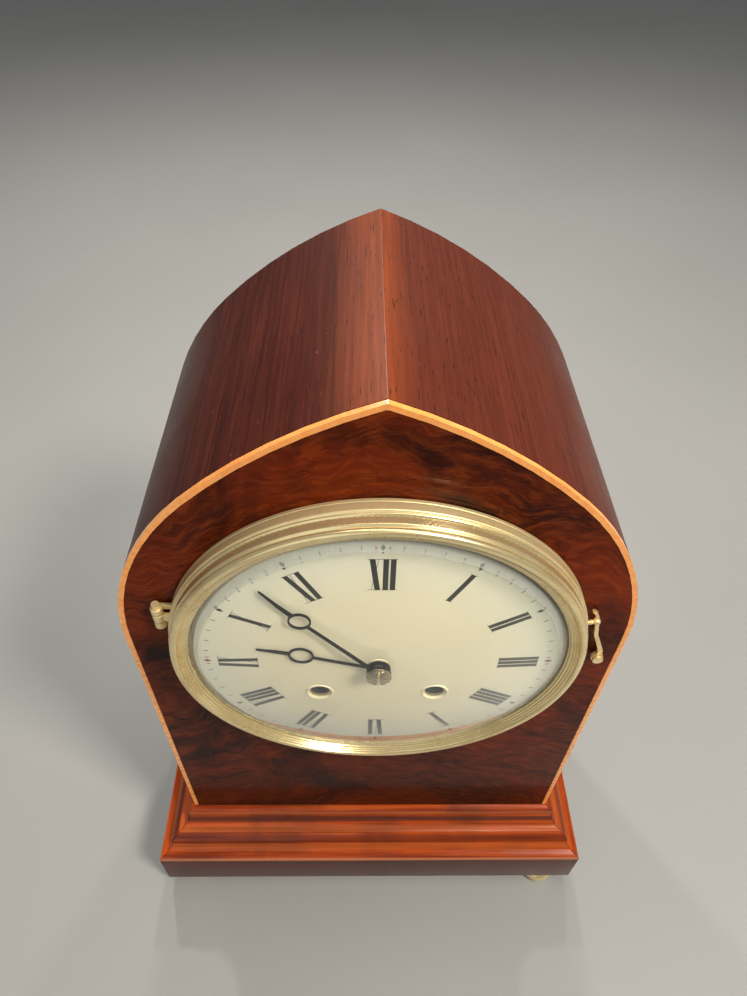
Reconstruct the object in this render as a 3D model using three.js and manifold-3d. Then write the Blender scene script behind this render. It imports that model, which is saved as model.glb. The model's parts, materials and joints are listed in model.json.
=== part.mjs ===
// Lancet (Gothic arch) mantel clock with an eight-day striking movement.
// Millimetres, +Z up. The front faces -Y and the origin is under the centre of the clock.
import * as THREE from 'three';
import { mergeVertices } from 'three/addons/utils/BufferGeometryUtils.js';
import Module from 'manifold-3d';

const wasm = await Module();
wasm.setup();

// Case. Heights are counted from the bottom of the arched body, depths from its front face.
const HALF_WIDTH = 84;
const DEPTH = 104;
const SPRING_LINE = 144.5;
const SHOULDER_RADIUS = 89.4;
const SHOULDER_ANGLE = THREE.MathUtils.degToRad(46.6);
const UPPER_RADIUS = 159.6;
const WALL = 7;
const STRING = 1.7;
const FIT = 0.3;
const VENEER = 2;
const FRONT_BOARD_Y = [2.3, 9.2];
const BACK_BOARD_Y = [90, 97];
const FRONT_HOLE = 58;
const BACK_HOLE = 52;

// Plinth and feet.
const OVERHANG = 17.9;
const PLINTH_HEIGHT = 47.8;
const FOOT_HEIGHT = 7;
const FOOT_RADIUS = 8;
const FOOT_X = 87;
const FRONT_FOOT_Y = { left: -8.5, right: -11.4 };
const BACK_FOOT_Y = DEPTH - 14;
const FRONT_REACH = FOOT_RADIUS - FRONT_FOOT_Y.right;

// Dial, bezel and hands, all about one axis through the case.
const DIAL_Z = 144.5;
const DIAL_RADIUS = 58.6;
const DIAL_EDGE_Y = -7.0;
const DIAL_RISE = 2.2;
const DIAL_THICK = 1.2;
const WINDING_X = 19.5;
const WINDING_DROP = 17.8;
const WINDING_HOLE = 3.9;
const HINGE_X = -69.4;
const HINGE_Y = -2.4;
const KNUCKLE = 1.9;
const CATCH_X = 75.2;
const CATCH_DROP = 8.5;
const MINUTE_ANGLE = 316.5;
const HOUR_ANGLE = 283.5;

// Movement: plate faces, arbor places (x, height above the dial centre) and tooth counts.
const FRONT_PLATE_Y = [1.5, 3.5];
const BACK_PLATE_Y = [41.5, 43.5];
const PLATE_RADIUS = 46;
const GOING = [WINDING_X, -WINDING_DROP];
const STRIKE = [-WINDING_X, -WINDING_DROP];
const CENTRE = [0, 0];
const INTERMEDIATE = [22, 4.4];
const STRIKE_SECOND = [-22, 4.4];
const THIRD = [8.5, 19.9];
const ESCAPE = [0, 29];
const PALLET = [0, 41];
const MINUTE_STUD = [0, -12];
const HAMMER = [-34, 20];
const PILLARS = [[29, 29], [-31.4, 26.4], [0, -41]];
const DIAL_FEET = [[32.9, 19], [-32.9, 19], [0, -38]];
const WHEEL_TEETH = 24;
const PINION_TEETH = 8;
const HOUR_TEETH = 28;
const HOUR_PINION_TEETH = 7;
const ESCAPE_TEETH = 15;
const ARBOR = 1.0;
const PIVOT = 0.7;
const PENDULUM_Y = 50;

// Where the body's own zero point lies in the clock's frame.
const SHIFT = new THREE.Vector3(0, -(DEPTH - FRONT_REACH) / 2, PLINTH_HEIGHT + FOOT_HEIGHT);

const paint = (color, roughness, metalness) =>
  new THREE.MeshStandardMaterial({ color, roughness, metalness });
const MAHOGANY = paint(0x54200f, 0.3, 0);
const FLAME = paint(0x3f1a0c, 0.22, 0);
const BOXWOOD = paint(0xd9772b, 0.35, 0);
const MOULDED = paint(0x8a2f10, 0.25, 0);
const CARCASE = paint(0x7a5230, 0.7, 0);
const BRASS = paint(0xc9a55c, 0.25, 1);
const STEEL = paint(0x9a9a98, 0.35, 1);
const BLUED = paint(0x15151c, 0.3, 1);
const ENAMEL = paint(0xe2dcc0, 0.2, 0);
const BELL_METAL = paint(0xb8964c, 0.35, 1);
const GLASS = new THREE.MeshStandardMaterial({
  color: 0xffffff, roughness: 0.02, transparent: true, opacity: 0.35,
});

// ---------------------------------------------------------------- solid helpers

/** Keeps positions only, merges shared vertices, drops slivers and points every face outward. */
function closed(geometry) {
  const bare = geometry.clone();
  bare.deleteAttribute('normal');
  bare.deleteAttribute('uv');
  const merged = mergeVertices(bare, 1e-4);
  const source = merged.getIndex().array;
  const place = merged.getAttribute('position');
  const kept = [];
  for (let i = 0; i < source.length; i += 3) {
    const [a, b, c] = [source[i], source[i + 1], source[i + 2]];
    if (a !== b && b !== c && c !== a) kept.push(a, b, c);
  }
  const [p, q, r] = [new THREE.Vector3(), new THREE.Vector3(), new THREE.Vector3()];
  let volume = 0;
  for (let i = 0; i < kept.length; i += 3) {
    p.fromBufferAttribute(place, kept[i]);
    q.fromBufferAttribute(place, kept[i + 1]);
    r.fromBufferAttribute(place, kept[i + 2]);
    volume += p.dot(q.cross(r));
  }
  if (volume < 0) kept.reverse();
  merged.setIndex(kept);
  return merged;
}

function toManifold(geometry) {
  const solid = closed(geometry);
  const vertProperties = new Float32Array(solid.getAttribute('position').array);
  const triVerts = new Uint32Array(solid.getIndex().array);
  return new wasm.Manifold(new wasm.Mesh({ numProp: 3, vertProperties, triVerts }));
}

function fromManifold(manifold) {
  const mesh = manifold.getMesh();
  const geometry = new THREE.BufferGeometry();
  geometry.setAttribute('position', new THREE.BufferAttribute(new Float32Array(mesh.vertProperties), 3));
  geometry.setIndex(new THREE.BufferAttribute(new Uint32Array(mesh.triVerts), 1));
  return geometry;
}

const join = (...pieces) => fromManifold(pieces.map(toManifold).reduce((all, next) => all.add(next)));
const cut = (base, ...tools) =>
  fromManifold(tools.map(toManifold).reduce((left, tool) => left.subtract(tool), toManifold(base)));

/** A flat outline in X and Z, carried along Y from y0 to y1. */
function prism(outline, y0, y1, holes = []) {
  const shape = new THREE.Shape(outline.map(([x, z]) => new THREE.Vector2(x, z)));
  for (const hole of holes) shape.holes.push(new THREE.Path(hole.map(([x, z]) => new THREE.Vector2(x, z))));
  const geometry = new THREE.ExtrudeGeometry(shape, { depth: y1 - y0, bevelEnabled: false });
  return geometry.rotateX(Math.PI / 2).translate(0, y1, 0);
}

/** A profile of (radius, y) points turned about the Y axis. */
function turned(profile, segments, [x, z] = [0, 0]) {
  const points = profile.map(([radius, y]) => new THREE.Vector2(radius, y));
  return new THREE.LatheGeometry(points, segments).translate(x, 0, z);
}

const ring = (profile) => [...profile, profile[0]];

function rodY(radius, y0, y1, [x, z] = [0, 0], segments = 12) {
  return new THREE.CylinderGeometry(radius, radius, y1 - y0, segments).translate(x, (y0 + y1) / 2, z);
}

function rodZ(radius, z0, z1, x, y, segments = 12) {
  return new THREE.CylinderGeometry(radius, radius, z1 - z0, segments)
    .rotateX(Math.PI / 2).translate(x, y, (z0 + z1) / 2);
}

function block(x0, x1, y0, y1, z0, z1) {
  return new THREE.BoxGeometry(x1 - x0, y1 - y0, z1 - z0)
    .translate((x0 + x1) / 2, (y0 + y1) / 2, (z0 + z1) / 2);
}

function circle(radius, [x, z], segments) {
  return Array.from({ length: segments }, (_, i) => {
    const angle = (2 * Math.PI * i) / segments;
    return [x + radius * Math.cos(angle), z + radius * Math.sin(angle)];
  });
}

/** A strip of the given widths along a line of points, in X and Z. */
function ribbon(points, widths) {
  const sides = points.map(([x, z], i) => {
    const [ax, az] = points[Math.max(i - 1, 0)];
    const [bx, bz] = points[Math.min(i + 1, points.length - 1)];
    const length = Math.hypot(bx - ax, bz - az);
    const [nx, nz] = [-(bz - az) / length, (bx - ax) / length];
    const half = widths[i] / 2;
    return [[x + nx * half, z + nz * half], [x - nx * half, z - nz * half]];
  });
  return [...sides.map((side) => side[0]), ...sides.map((side) => side[1]).reverse()];
}

const clock = new THREE.Group();
clock.position.copy(SHIFT);
const train = new THREE.Group();
train.position.z = DIAL_Z;
clock.add(train);

function add(group, name, geometry, material) {
  const mesh = new THREE.Mesh(closed(geometry), material);
  mesh.name = name;
  group.add(mesh);
  return mesh;
}

// ---------------------------------------------------------------- case

/** One half of the arch from the bottom to x = xEnd, moved inward by the offset. */
function archHalf(offset, xEnd) {
  const points = [[HALF_WIDTH - offset, 0]];
  const shoulderX = HALF_WIDTH - SHOULDER_RADIUS;
  const shoulderSteps = 10;
  for (let i = 0; i <= shoulderSteps; i += 1) {
    const angle = (SHOULDER_ANGLE * i) / shoulderSteps;
    const radius = SHOULDER_RADIUS - offset;
    points.push([shoulderX + radius * Math.cos(angle), SPRING_LINE + radius * Math.sin(angle)]);
  }
  const reach = UPPER_RADIUS - SHOULDER_RADIUS;
  const upperX = shoulderX - reach * Math.cos(SHOULDER_ANGLE);
  const upperZ = SPRING_LINE - reach * Math.sin(SHOULDER_ANGLE);
  const radius = UPPER_RADIUS - offset;
  const last = Math.acos((xEnd - upperX) / radius);
  const upperSteps = 6;
  for (let i = 1; i <= upperSteps; i += 1) {
    const angle = SHOULDER_ANGLE + ((last - SHOULDER_ANGLE) * i) / upperSteps;
    points.push([upperX + radius * Math.cos(angle), upperZ + radius * Math.sin(angle)]);
  }
  return points;
}

const mirrored = (points) => points.map(([x, z]) => [-x, z]);

function archBand(outer, inner, side) {
  const halves = [...archHalf(outer, 0.15), ...archHalf(inner, 0.15).reverse()];
  return side > 0 ? halves : mirrored(halves);
}

function archPanel(offset) {
  const right = archHalf(offset, 0);
  return [...right, ...mirrored(right).reverse().slice(1)];
}

function panel(offset, [y0, y1], holeRadius) {
  const geometry = prism(archPanel(offset), y0, y1, [circle(holeRadius, [0, DIAL_Z], 40)]);
  return geometry;
}

function buildCase() {
  const shellFront = STRING + FIT;
  add(clock, 'shell_left', prism(archBand(0, WALL, -1), shellFront, DEPTH), MAHOGANY);
  add(clock, 'shell_right', prism(archBand(0, WALL, 1), shellFront, DEPTH), MAHOGANY);
  add(clock, 'stringing_left', prism(archBand(0, STRING, -1), 0, STRING), BOXWOOD);
  add(clock, 'stringing_right', prism(archBand(0, STRING, 1), 0, STRING), BOXWOOD);
  add(clock, 'front_veneer', panel(STRING + 0.2, [0, VENEER], FRONT_HOLE), FLAME);
  add(clock, 'front_board', panel(WALL + FIT, FRONT_BOARD_Y, FRONT_HOLE), CARCASE);
  add(clock, 'back_board', panel(WALL + FIT, BACK_BOARD_Y, BACK_HOLE), MAHOGANY);
  const inside = HALF_WIDTH - WALL - FIT;
  const boardY = [FRONT_BOARD_Y[1] + FIT, BACK_BOARD_Y[0] - FIT];
  add(clock, 'bottom_board', block(-inside, inside, boardY[0], boardY[1], 0, 8), CARCASE);
}

/** Plinth moulding: (outward, height) from the top inner corner down to the bottom. */
const MOULDING = [
  [0, -FIT], [1.6, -0.5], [2.6, -1.2], [3.0, -2.2], [3.0, -5.6], [3.7, -6.4], [4.1, -8.4], [5.2, -10.3],
  [6.9, -11.5], [8.6, -11.8], [8.6, -13.0], [9.3, -13.6], [10.7, -14.3], [11.6, -15.4], [11.8, -16.9],
  [12.1, -18.6], [13.1, -20.3], [14.8, -21.4], [16.6, -21.7], [17.5, -22.3], [OVERHANG, -23.4],
  [OVERHANG, -PLINTH_HEIGHT], [0, -PLINTH_HEIGHT],
];

/** A bar whose section keeps the moulding profile and whose ends are set by start and end. */
function mouldedBar(start, end) {
  const count = MOULDING.length;
  const vertices = [...MOULDING.map(start), ...MOULDING.map(end)];
  const index = [];
  for (let i = 0; i < count; i += 1) {
    const next = (i + 1) % count;
    index.push(i, next, count + next, i, count + next, count + i);
  }
  const outline = MOULDING.map(([o, z]) => new THREE.Vector2(o, z));
  for (const [a, b, c] of THREE.ShapeUtils.triangulateShape(outline, [])) {
    index.push(a, b, c, count + a, count + c, count + b);
  }
  const geometry = new THREE.BufferGeometry();
  geometry.setAttribute('position', new THREE.Float32BufferAttribute(vertices.flat(), 3));
  geometry.setIndex(index);
  return geometry;
}

function buildPlinth() {
  const mitre = 0.15;
  const frontBar = mouldedBar(
    ([o, z]) => [-(HALF_WIDTH + o) + mitre, -o, z], ([o, z]) => [HALF_WIDTH + o - mitre, -o, z]);
  const leftBar = mouldedBar(
    ([o, z]) => [-(HALF_WIDTH + o), -o + mitre, z], ([o, z]) => [-(HALF_WIDTH + o), DEPTH, z]);
  const rightBar = mouldedBar(
    ([o, z]) => [HALF_WIDTH + o, -o + mitre, z], ([o, z]) => [HALF_WIDTH + o, DEPTH, z]);
  add(clock, 'moulding_front', frontBar, MOULDED);
  add(clock, 'moulding_left', leftBar, MOULDED);
  add(clock, 'moulding_right', rightBar, MOULDED);
  const half = HALF_WIDTH - FIT;
  add(clock, 'plinth_core', block(-half, half, FIT, DEPTH, -PLINTH_HEIGHT, -FIT), CARCASE);
  const top = -PLINTH_HEIGHT - FIT;
  const bottom = -PLINTH_HEIGHT - FOOT_HEIGHT;
  const feet = {
    foot_front_left: [-FOOT_X, FRONT_FOOT_Y.left], foot_front_right: [FOOT_X, FRONT_FOOT_Y.right],
    foot_back_left: [-FOOT_X, BACK_FOOT_Y], foot_back_right: [FOOT_X, BACK_FOOT_Y],
  };
  const profile = [
    [0, top], [6.2, top], [7.6, top - 1.6], [FOOT_RADIUS, top - 3.2], [7.2, top - 5.4], [5.4, bottom], [0, bottom],
  ];
  for (const [name, [x, y]] of Object.entries(feet)) {
    const bun = turned(profile, 16).rotateX(Math.PI / 2);
    bun.translate(x, y, 0);
    add(clock, name, bun, BRASS);
  }
}

// ---------------------------------------------------------------- bezel, dial and hands

/** Brass seat ring on the case front, with the fixed hinge knuckles. */
function bezelSeat() {
  const body = turned(ring([
    [56.4, 8.9], [57.6, 8.9], [57.6, -0.3], [67.9, -0.3],
    [67.9, -1.6], [58.3, -1.6], [58.3, -5.5], [56.4, -5.5],
  ]), 32);
  const pieces = [[18.0, 20.6], [10.9, 13.6]].flatMap(([z0, z1]) => [
    rodZ(KNUCKLE, z0, z1, HINGE_X, HINGE_Y), block(HINGE_X, -61.5, -1.5, -0.6, z0, z1),
  ]);
  return cut(join(body, ...pieces), rodZ(1.1, 10, 21, HINGE_X, HINGE_Y));
}

/** The opening bezel: stepped and reeded ring, hinge knuckle and catch stud. */
function bezelDoor() {
  const body = turned(ring([
    [67.9, -1.9], [67.9, -4.8], [67.1, -5.2], [67.4, -6.2], [66.7, -7.2], [67.2, -8.6],
    [66.4, -10.9], [65.5, -11.5], [64.4, -10.9], [61.5, -9.3], [61.0, -9.0], [61.0, -8.5],
    [62.3, -8.5], [62.3, -5.8], [66.0, -5.8], [66.0, -1.9],
  ]), 36);
  const knuckle = rodZ(KNUCKLE, 14.0, 17.6, HINGE_X, HINGE_Y);
  const web = block(HINGE_X, -64.7, -3.6, -2.0, 14.0, 17.6);
  const angle = THREE.MathUtils.degToRad(13);
  const stud = new THREE.CylinderGeometry(0.9, 0.9, 5, 8).rotateZ(-Math.PI / 2);
  const ball = new THREE.SphereGeometry(1.25, 8, 5).translate(2.6, 0, 0);
  for (const piece of [stud, ball]) {
    piece.translate(68.5, 0, 0).rotateY(-angle).translate(0, -4.1, 0);
  }
  return cut(join(body, knuckle, web, stud, ball), rodZ(1.1, 10, 21, HINGE_X, HINGE_Y));
}

/** Domed glass with a broad ground bevel round its edge. */
function bezelGlass() {
  const edge = 62.0;
  const backCentre = -16.2;
  const rise = 9.5;
  const sphere = (edge ** 2 + rise ** 2) / (2 * rise);
  const back = (radius) => backCentre + sphere - Math.sqrt(sphere ** 2 - radius ** 2);
  const profile = [0, 22, 43, edge].map((radius) => [radius, back(radius)]);
  const front = [57.6, 38, 19, 0].map((radius) => [radius, back(radius) - 1.6]);
  return turned([...profile, [edge, -7.9], ...front], 32);
}

function dialSurface(radius) {
  return DIAL_EDGE_Y - DIAL_RISE * (1 - (radius / DIAL_RADIUS) ** 2);
}

/** Convex enamel plate with its winding holes, centre hole and three feet. */
function dial() {
  const radii = [DIAL_RADIUS, 36, 0];
  const front = radii.map((radius) => [radius, dialSurface(radius)]);
  const back = [...radii].reverse().map((radius) => [radius, dialSurface(radius) + DIAL_THICK]);
  const plate = turned(ring([...front, ...back]).slice(0, -1).concat([[DIAL_RADIUS, DIAL_EDGE_Y]]), 40);
  const feet = DIAL_FEET.map((place) => rodY(1.2, -7.3, 1.2, place, 8));
  const holes = [GOING, STRIKE].map((place) => rodY(WINDING_HOLE, -12, 0, place, 16));
  return cut(join(plate, ...feet), ...holes, rodY(2.7, -12, 0, CENTRE, 20));
}

/** A moon hand lying along +Z: hub, shaft, pierced ring and pointed tip, bent back towards the dial. */
function moonHand({ y, hub, bore, shaft, moonAt, moon, pierce, tip, bend, slope }) {
  const thick = 0.6;
  const disc = prism(circle(hub, [0, 0], 18), y - thick, y);
  const moonRing = prism(circle(moon, [0, moonAt], 20), y - thick, y);
  const stem = prism(ribbon([[0, 0], [0, moonAt]], shaft), y - thick, y);
  const waist = moonAt + (tip - moonAt) * 0.55;
  const end = ribbon([[0, moonAt], [bend * 0.3, waist], [bend, tip]], [1.5, 0.95, 0.3]);
  const point = prism(end, y - thick, y);
  const flat = cut(
    join(disc, moonRing, stem, point),
    rodY(pierce, y - 2, y + 1, [0, moonAt], 20),
    rodY(bore, y - 2, y + 1, CENTRE, 12));
  const place = flat.getAttribute('position');
  for (let i = 0; i < place.count; i += 1) {
    place.setY(i, place.getY(i) + slope * Math.max(0, place.getZ(i) - hub));
  }
  return flat;
}

function buildFace() {
  add(train, 'bezel_seat', bezelSeat(), BRASS);
  add(train, 'bezel_door', bezelDoor(), BRASS);
  add(train, 'bezel_glass', bezelGlass(), GLASS);
  const retainer = ring([[60.4, -5.9], [62.0, -5.9], [62.0, -6.4], [60.4, -6.4]]);
  add(train, 'glass_retainer', turned(retainer, 32), BRASS);
  const pin = join(rodZ(0.8, 10.4, 21.2, HINGE_X, HINGE_Y, 10), rodZ(1.3, 20.9, 22.2, HINGE_X, HINGE_Y, 10));
  add(train, 'hinge_pin', pin, BRASS);
  add(train, 'dial', dial(), ENAMEL);

  const eye = prism(circle(2.1, [CATCH_X, -CATCH_DROP], 16), -2.4, -1.2);
  const arm = [
    [CATCH_X, -CATCH_DROP], [75.5, -4.6], [73.5, 0.6], [71.6, 5.2],
    [70.7, 10.0], [70.1, 14.2], [69.0, 17.2], [67.8, 18.4],
  ];
  const strip = prism(ribbon(arm, [1.9, 1.6, 1.4, 1.3, 1.2, 1.1, 1.0, 0.8]), -2.4, -1.2);
  const place = [CATCH_X, -CATCH_DROP];
  add(train, 'catch_hook', cut(join(eye, strip), rodY(1.3, -4, 1, place)), BRASS);
  add(train, 'catch_screw', join(rodY(1.0, -3.0, -0.3, place), rodY(1.8, -3.6, -2.7, place, 14)), BRASS);

  const hour = moonHand({
    y: -10.2, hub: 3.9, bore: 2.5, shaft: [1.0, 0.7], moonAt: 25.3, moon: 4.05, pierce: 3.5,
    tip: 39.5, bend: -0.8, slope: 0.05,
  });
  const minute = moonHand({
    y: -11.8, hub: 4.0, bore: 1.75, shaft: [1.2, 0.75], moonAt: 35, moon: 3.55, pierce: 3.0,
    tip: 52, bend: 1.0, slope: 0.072,
  });
  add(train, 'hour_hand', hour.rotateY(THREE.MathUtils.degToRad(HOUR_ANGLE)), BLUED);
  add(train, 'minute_hand', minute.rotateY(THREE.MathUtils.degToRad(MINUTE_ANGLE)), BLUED);
  const nut = turned(ring([
    [1.0, -12.9], [3.7, -12.9], [4.1, -13.2], [4.1, -14.2], [3.8, -14.5], [1.0, -14.5],
  ]), 16);
  add(train, 'hand_nut', nut, BRASS);
}

// ---------------------------------------------------------------- movement

const gap = ([ax, az], [bx, bz]) => Math.hypot(bx - ax, bz - az);
const heading = ([ax, az], [bx, bz]) => Math.atan2(bz - az, bx - ax);

/** Gear outline. The first tooth points along the phase angle. */
function gearOutline(teeth, pitchRadius, phase, [x, z]) {
  const module = (2 * pitchRadius) / teeth;
  const step = (2 * Math.PI) / teeth;
  const tip = pitchRadius + 0.57 * module;
  const root = pitchRadius - 1.05 * module;
  return Array.from({ length: teeth }, (_, i) => phase + i * step).flatMap((angle) => [
    [angle - 0.068 * step, tip], [angle + 0.068 * step, tip], [angle + 0.5 * step, root],
  ]).map(([angle, radius]) => [x + radius * Math.cos(angle), z + radius * Math.sin(angle)]);
}

/** Pitch radii and phases that put two gears in mesh. */
function mesh(driver, driverTeeth, driven, drivenTeeth) {
  const distance = gap(driver, driven);
  const angle = heading(driver, driven);
  const share = driverTeeth / (driverTeeth + drivenTeeth);
  return {
    driver: { teeth: driverTeeth, radius: distance * share, phase: angle, at: driver },
    driven: {
      teeth: drivenTeeth,
      radius: distance * (1 - share),
      phase: angle + Math.PI + Math.PI / drivenTeeth,
      at: driven,
    },
  };
}

const gear = ({ teeth, radius, phase, at }, y0, y1) => prism(gearOutline(teeth, radius, phase, at), y0, y1);

const BARREL_MESH = mesh(GOING, WHEEL_TEETH, INTERMEDIATE, PINION_TEETH);
const STRIKE_MESH = mesh(STRIKE, WHEEL_TEETH, STRIKE_SECOND, PINION_TEETH);
const CENTRE_MESH = mesh(INTERMEDIATE, WHEEL_TEETH, CENTRE, PINION_TEETH);
const THIRD_MESH = mesh(CENTRE, WHEEL_TEETH, THIRD, PINION_TEETH);
const ESCAPE_MESH = mesh(THIRD, WHEEL_TEETH, ESCAPE, PINION_TEETH);
const CANNON_MESH = mesh(CENTRE, PINION_TEETH, MINUTE_STUD, WHEEL_TEETH);
const HOUR_MESH = mesh(MINUTE_STUD, HOUR_PINION_TEETH, CENTRE, HOUR_TEETH);

/** An arbor between the plates with a thin pivot at each end. */
function arbor(at, radius = ARBOR) {
  return join(rodY(radius, 4.0, 41.0, at, 8), rodY(PIVOT, 2.0, 43.0, at, 6));
}

function buildPlates() {
  const pivots = [INTERMEDIATE, STRIKE_SECOND, THIRD, ESCAPE, HAMMER];
  const small = (y0, y1) => pivots.map((at) => rodY(PIVOT + FIT, y0, y1, at, 6));
  const frontHoles = [...small(1, 4), rodY(1.3, 1, 4), rodY(PIVOT + FIT, 1, 4, PALLET, 8)];
  const stud = rodY(0.9, -5.3, 2, MINUTE_STUD, 10);
  const winding = [GOING, STRIKE].map((at) => rodY(2.9, 1, 4, at, 14));
  const front = rodY(PLATE_RADIUS, ...FRONT_PLATE_Y, CENTRE, 36);
  add(train, 'front_plate', join(cut(front, ...frontHoles, ...winding), stud), BRASS);
  const back = rodY(PLATE_RADIUS, ...BACK_PLATE_Y, CENTRE, 36);
  const pillars = PILLARS.map((at) => rodY(2.4, FRONT_PLATE_Y[1] + FIT, 42, at, 8));
  const backHoles = [
    ...small(41, 44), rodY(PIVOT + FIT, 41, 44), rodY(1.4, 41, 44, PALLET), rodY(1.6, 41, 44, HAMMER),
  ];
  const rear = [GOING, STRIKE].map((at) => rodY(1.8, 41, 44, at, 12));
  add(train, 'back_plate', join(cut(back, ...backHoles, ...rear), ...pillars), BRASS);
}

/** Spring barrel: drum and great wheel, bored for its winding arbor. */
function barrel(at, wheel) {
  const drum = join(rodY(16, 9, 29.2, at, 24), gear(wheel, 29, 31.5), rodY(5, 31.4, 33, at, 12));
  return cut(drum, rodY(3.0, 8, 34, at, 12));
}

/** Winding arbor with its square for the key and its ratchet wheel under the dial. */
function windingArbor(at, side) {
  const [x, z] = at;
  const ratchet = Array.from({ length: 12 }, (_, i) => (2 * Math.PI * i) / 12).flatMap((angle) => [
    [x + 6.2 * Math.cos(angle), z + 6.2 * Math.sin(angle)],
    [x + 5.0 * Math.cos(angle + side * 0.06), z + 5.0 * Math.sin(angle + side * 0.06)],
  ]);
  const ordered = side > 0 ? ratchet : ratchet.map((_, i) => ratchet[i % 2 === 0 ? i + 1 : i - 1]);
  const square = block(x - 1.5, x + 1.5, -5.2, -1.8, z - 1.5, z + 1.5);
  return join(rodY(2.6, -2.0, 33.5, at, 12), rodY(1.5, 33, 43.3, at, 10), prism(ordered, -1.9, -0.5), square);
}

function buildTrains() {
  add(train, 'going_barrel', barrel(GOING, BARREL_MESH.driver), BRASS);
  add(train, 'strike_barrel', barrel(STRIKE, STRIKE_MESH.driver), BRASS);
  add(train, 'going_winding_arbor', windingArbor(GOING, 1), STEEL);
  add(train, 'strike_winding_arbor', windingArbor(STRIKE, -1), STEEL);
  const second = join(arbor(INTERMEDIATE), gear(BARREL_MESH.driven, 28.5, 32), gear(CENTRE_MESH.driver, 34, 36));
  add(train, 'intermediate_wheel', second, BRASS);
  const pins = Array.from({ length: 6 }, (_, i) => (Math.PI * i) / 3).map((angle) =>
    rodY(0.6, 36, 38.5, [STRIKE_SECOND[0] + 10 * Math.cos(angle), STRIKE_SECOND[1] + 10 * Math.sin(angle)], 6));
  const pinDisc = rodY(12, 34.5, 36.2, STRIKE_SECOND, 24);
  const strike = join(arbor(STRIKE_SECOND), gear(STRIKE_MESH.driven, 28.5, 32), pinDisc, ...pins);
  add(train, 'strike_pin_wheel', strike, BRASS);
  const centre = join(
    rodY(ARBOR, 1.0, 41.0, CENTRE, 8), rodY(PIVOT, -14.2, 43.0, CENTRE, 8),
    gear(THIRD_MESH.driver, 5.5, 7), gear(CENTRE_MESH.driven, 33.5, 36.5));
  add(train, 'centre_wheel', centre, BRASS);
  const third = join(arbor(THIRD), gear(THIRD_MESH.driven, 5, 7.6), gear(ESCAPE_MESH.driver, 29, 30.5));
  add(train, 'third_wheel', third, BRASS);
  const step = (2 * Math.PI) / ESCAPE_TEETH;
  const teeth = Array.from({ length: ESCAPE_TEETH }, (_, i) => i * step).flatMap((angle) => [
    [8.2 * Math.cos(angle), ESCAPE[1] + 8.2 * Math.sin(angle)],
    [6.4 * Math.cos(angle + 0.35 * step), ESCAPE[1] + 6.4 * Math.sin(angle + 0.35 * step)],
    [6.4 * Math.cos(angle + 0.8 * step), ESCAPE[1] + 6.4 * Math.sin(angle + 0.8 * step)],
  ]);
  const escape = join(arbor(ESCAPE), gear(ESCAPE_MESH.driven, 28.5, 32), prism(teeth, 37.5, 39));
  add(train, 'escape_wheel', escape, BRASS);
}

/** Motion work between the front plate and the dial. */
function buildMotionWork() {
  const cannon = cut(
    join(gear(CANNON_MESH.driver, -2.3, -0.6), rodY(1.4, -12.6, -0.6, CENTRE, 12)),
    rodY(1.02, -14, 1, CENTRE, 10));
  add(train, 'cannon_pinion', cannon, STEEL);
  const minuteWheel = join(gear(CANNON_MESH.driven, -2.1, -0.8), gear(HOUR_MESH.driver, -4.9, -2.0));
  add(train, 'minute_wheel', cut(minuteWheel, rodY(1.2, -6, 1, MINUTE_STUD, 12)), BRASS);
  const hourWheel = join(gear(HOUR_MESH.driven, -4.5, -3.3), rodY(2.2, -10.9, -3.4, CENTRE, 16));
  add(train, 'hour_wheel', cut(hourWheel, rodY(1.66, -12, -2, CENTRE, 16)), BRASS);
}

/** Pallet anchor between the plates, its arbor and the crutch behind the back plate. */
function anchor() {
  const [, z] = PALLET;
  const arms = ribbon([
    [-10.6, z - 9.2], [-9.4, z - 4.6], [-4, z - 0.6], [0, z + 0.4], [4, z - 0.6], [9.4, z - 4.6], [10.6, z - 9.2],
  ], [0.9, 2.0, 2.6, 3.4, 2.6, 2.0, 0.9]);
  const crutch = block(-1, 1, 46, 47.2, z - 24, z);
  const bridge = block(-2.7, 2.7, 46, 47.2, z - 26, z - 22);
  const prongs = [[-2.7, -1.7], [1.7, 2.7]].map(([x0, x1]) => block(x0, x1, 47, 52, z - 26, z - 22));
  return join(
    rodY(ARBOR, 4.0, 47.2, PALLET, 10), rodY(PIVOT, 2.0, 5, PALLET, 8), rodY(2.2, 37, 39.6, PALLET, 14),
    prism(arms, 37.3, 39.2), rodY(1.9, 45.9, 47.2, PALLET, 12), crutch, bridge, ...prongs);
}

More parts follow.
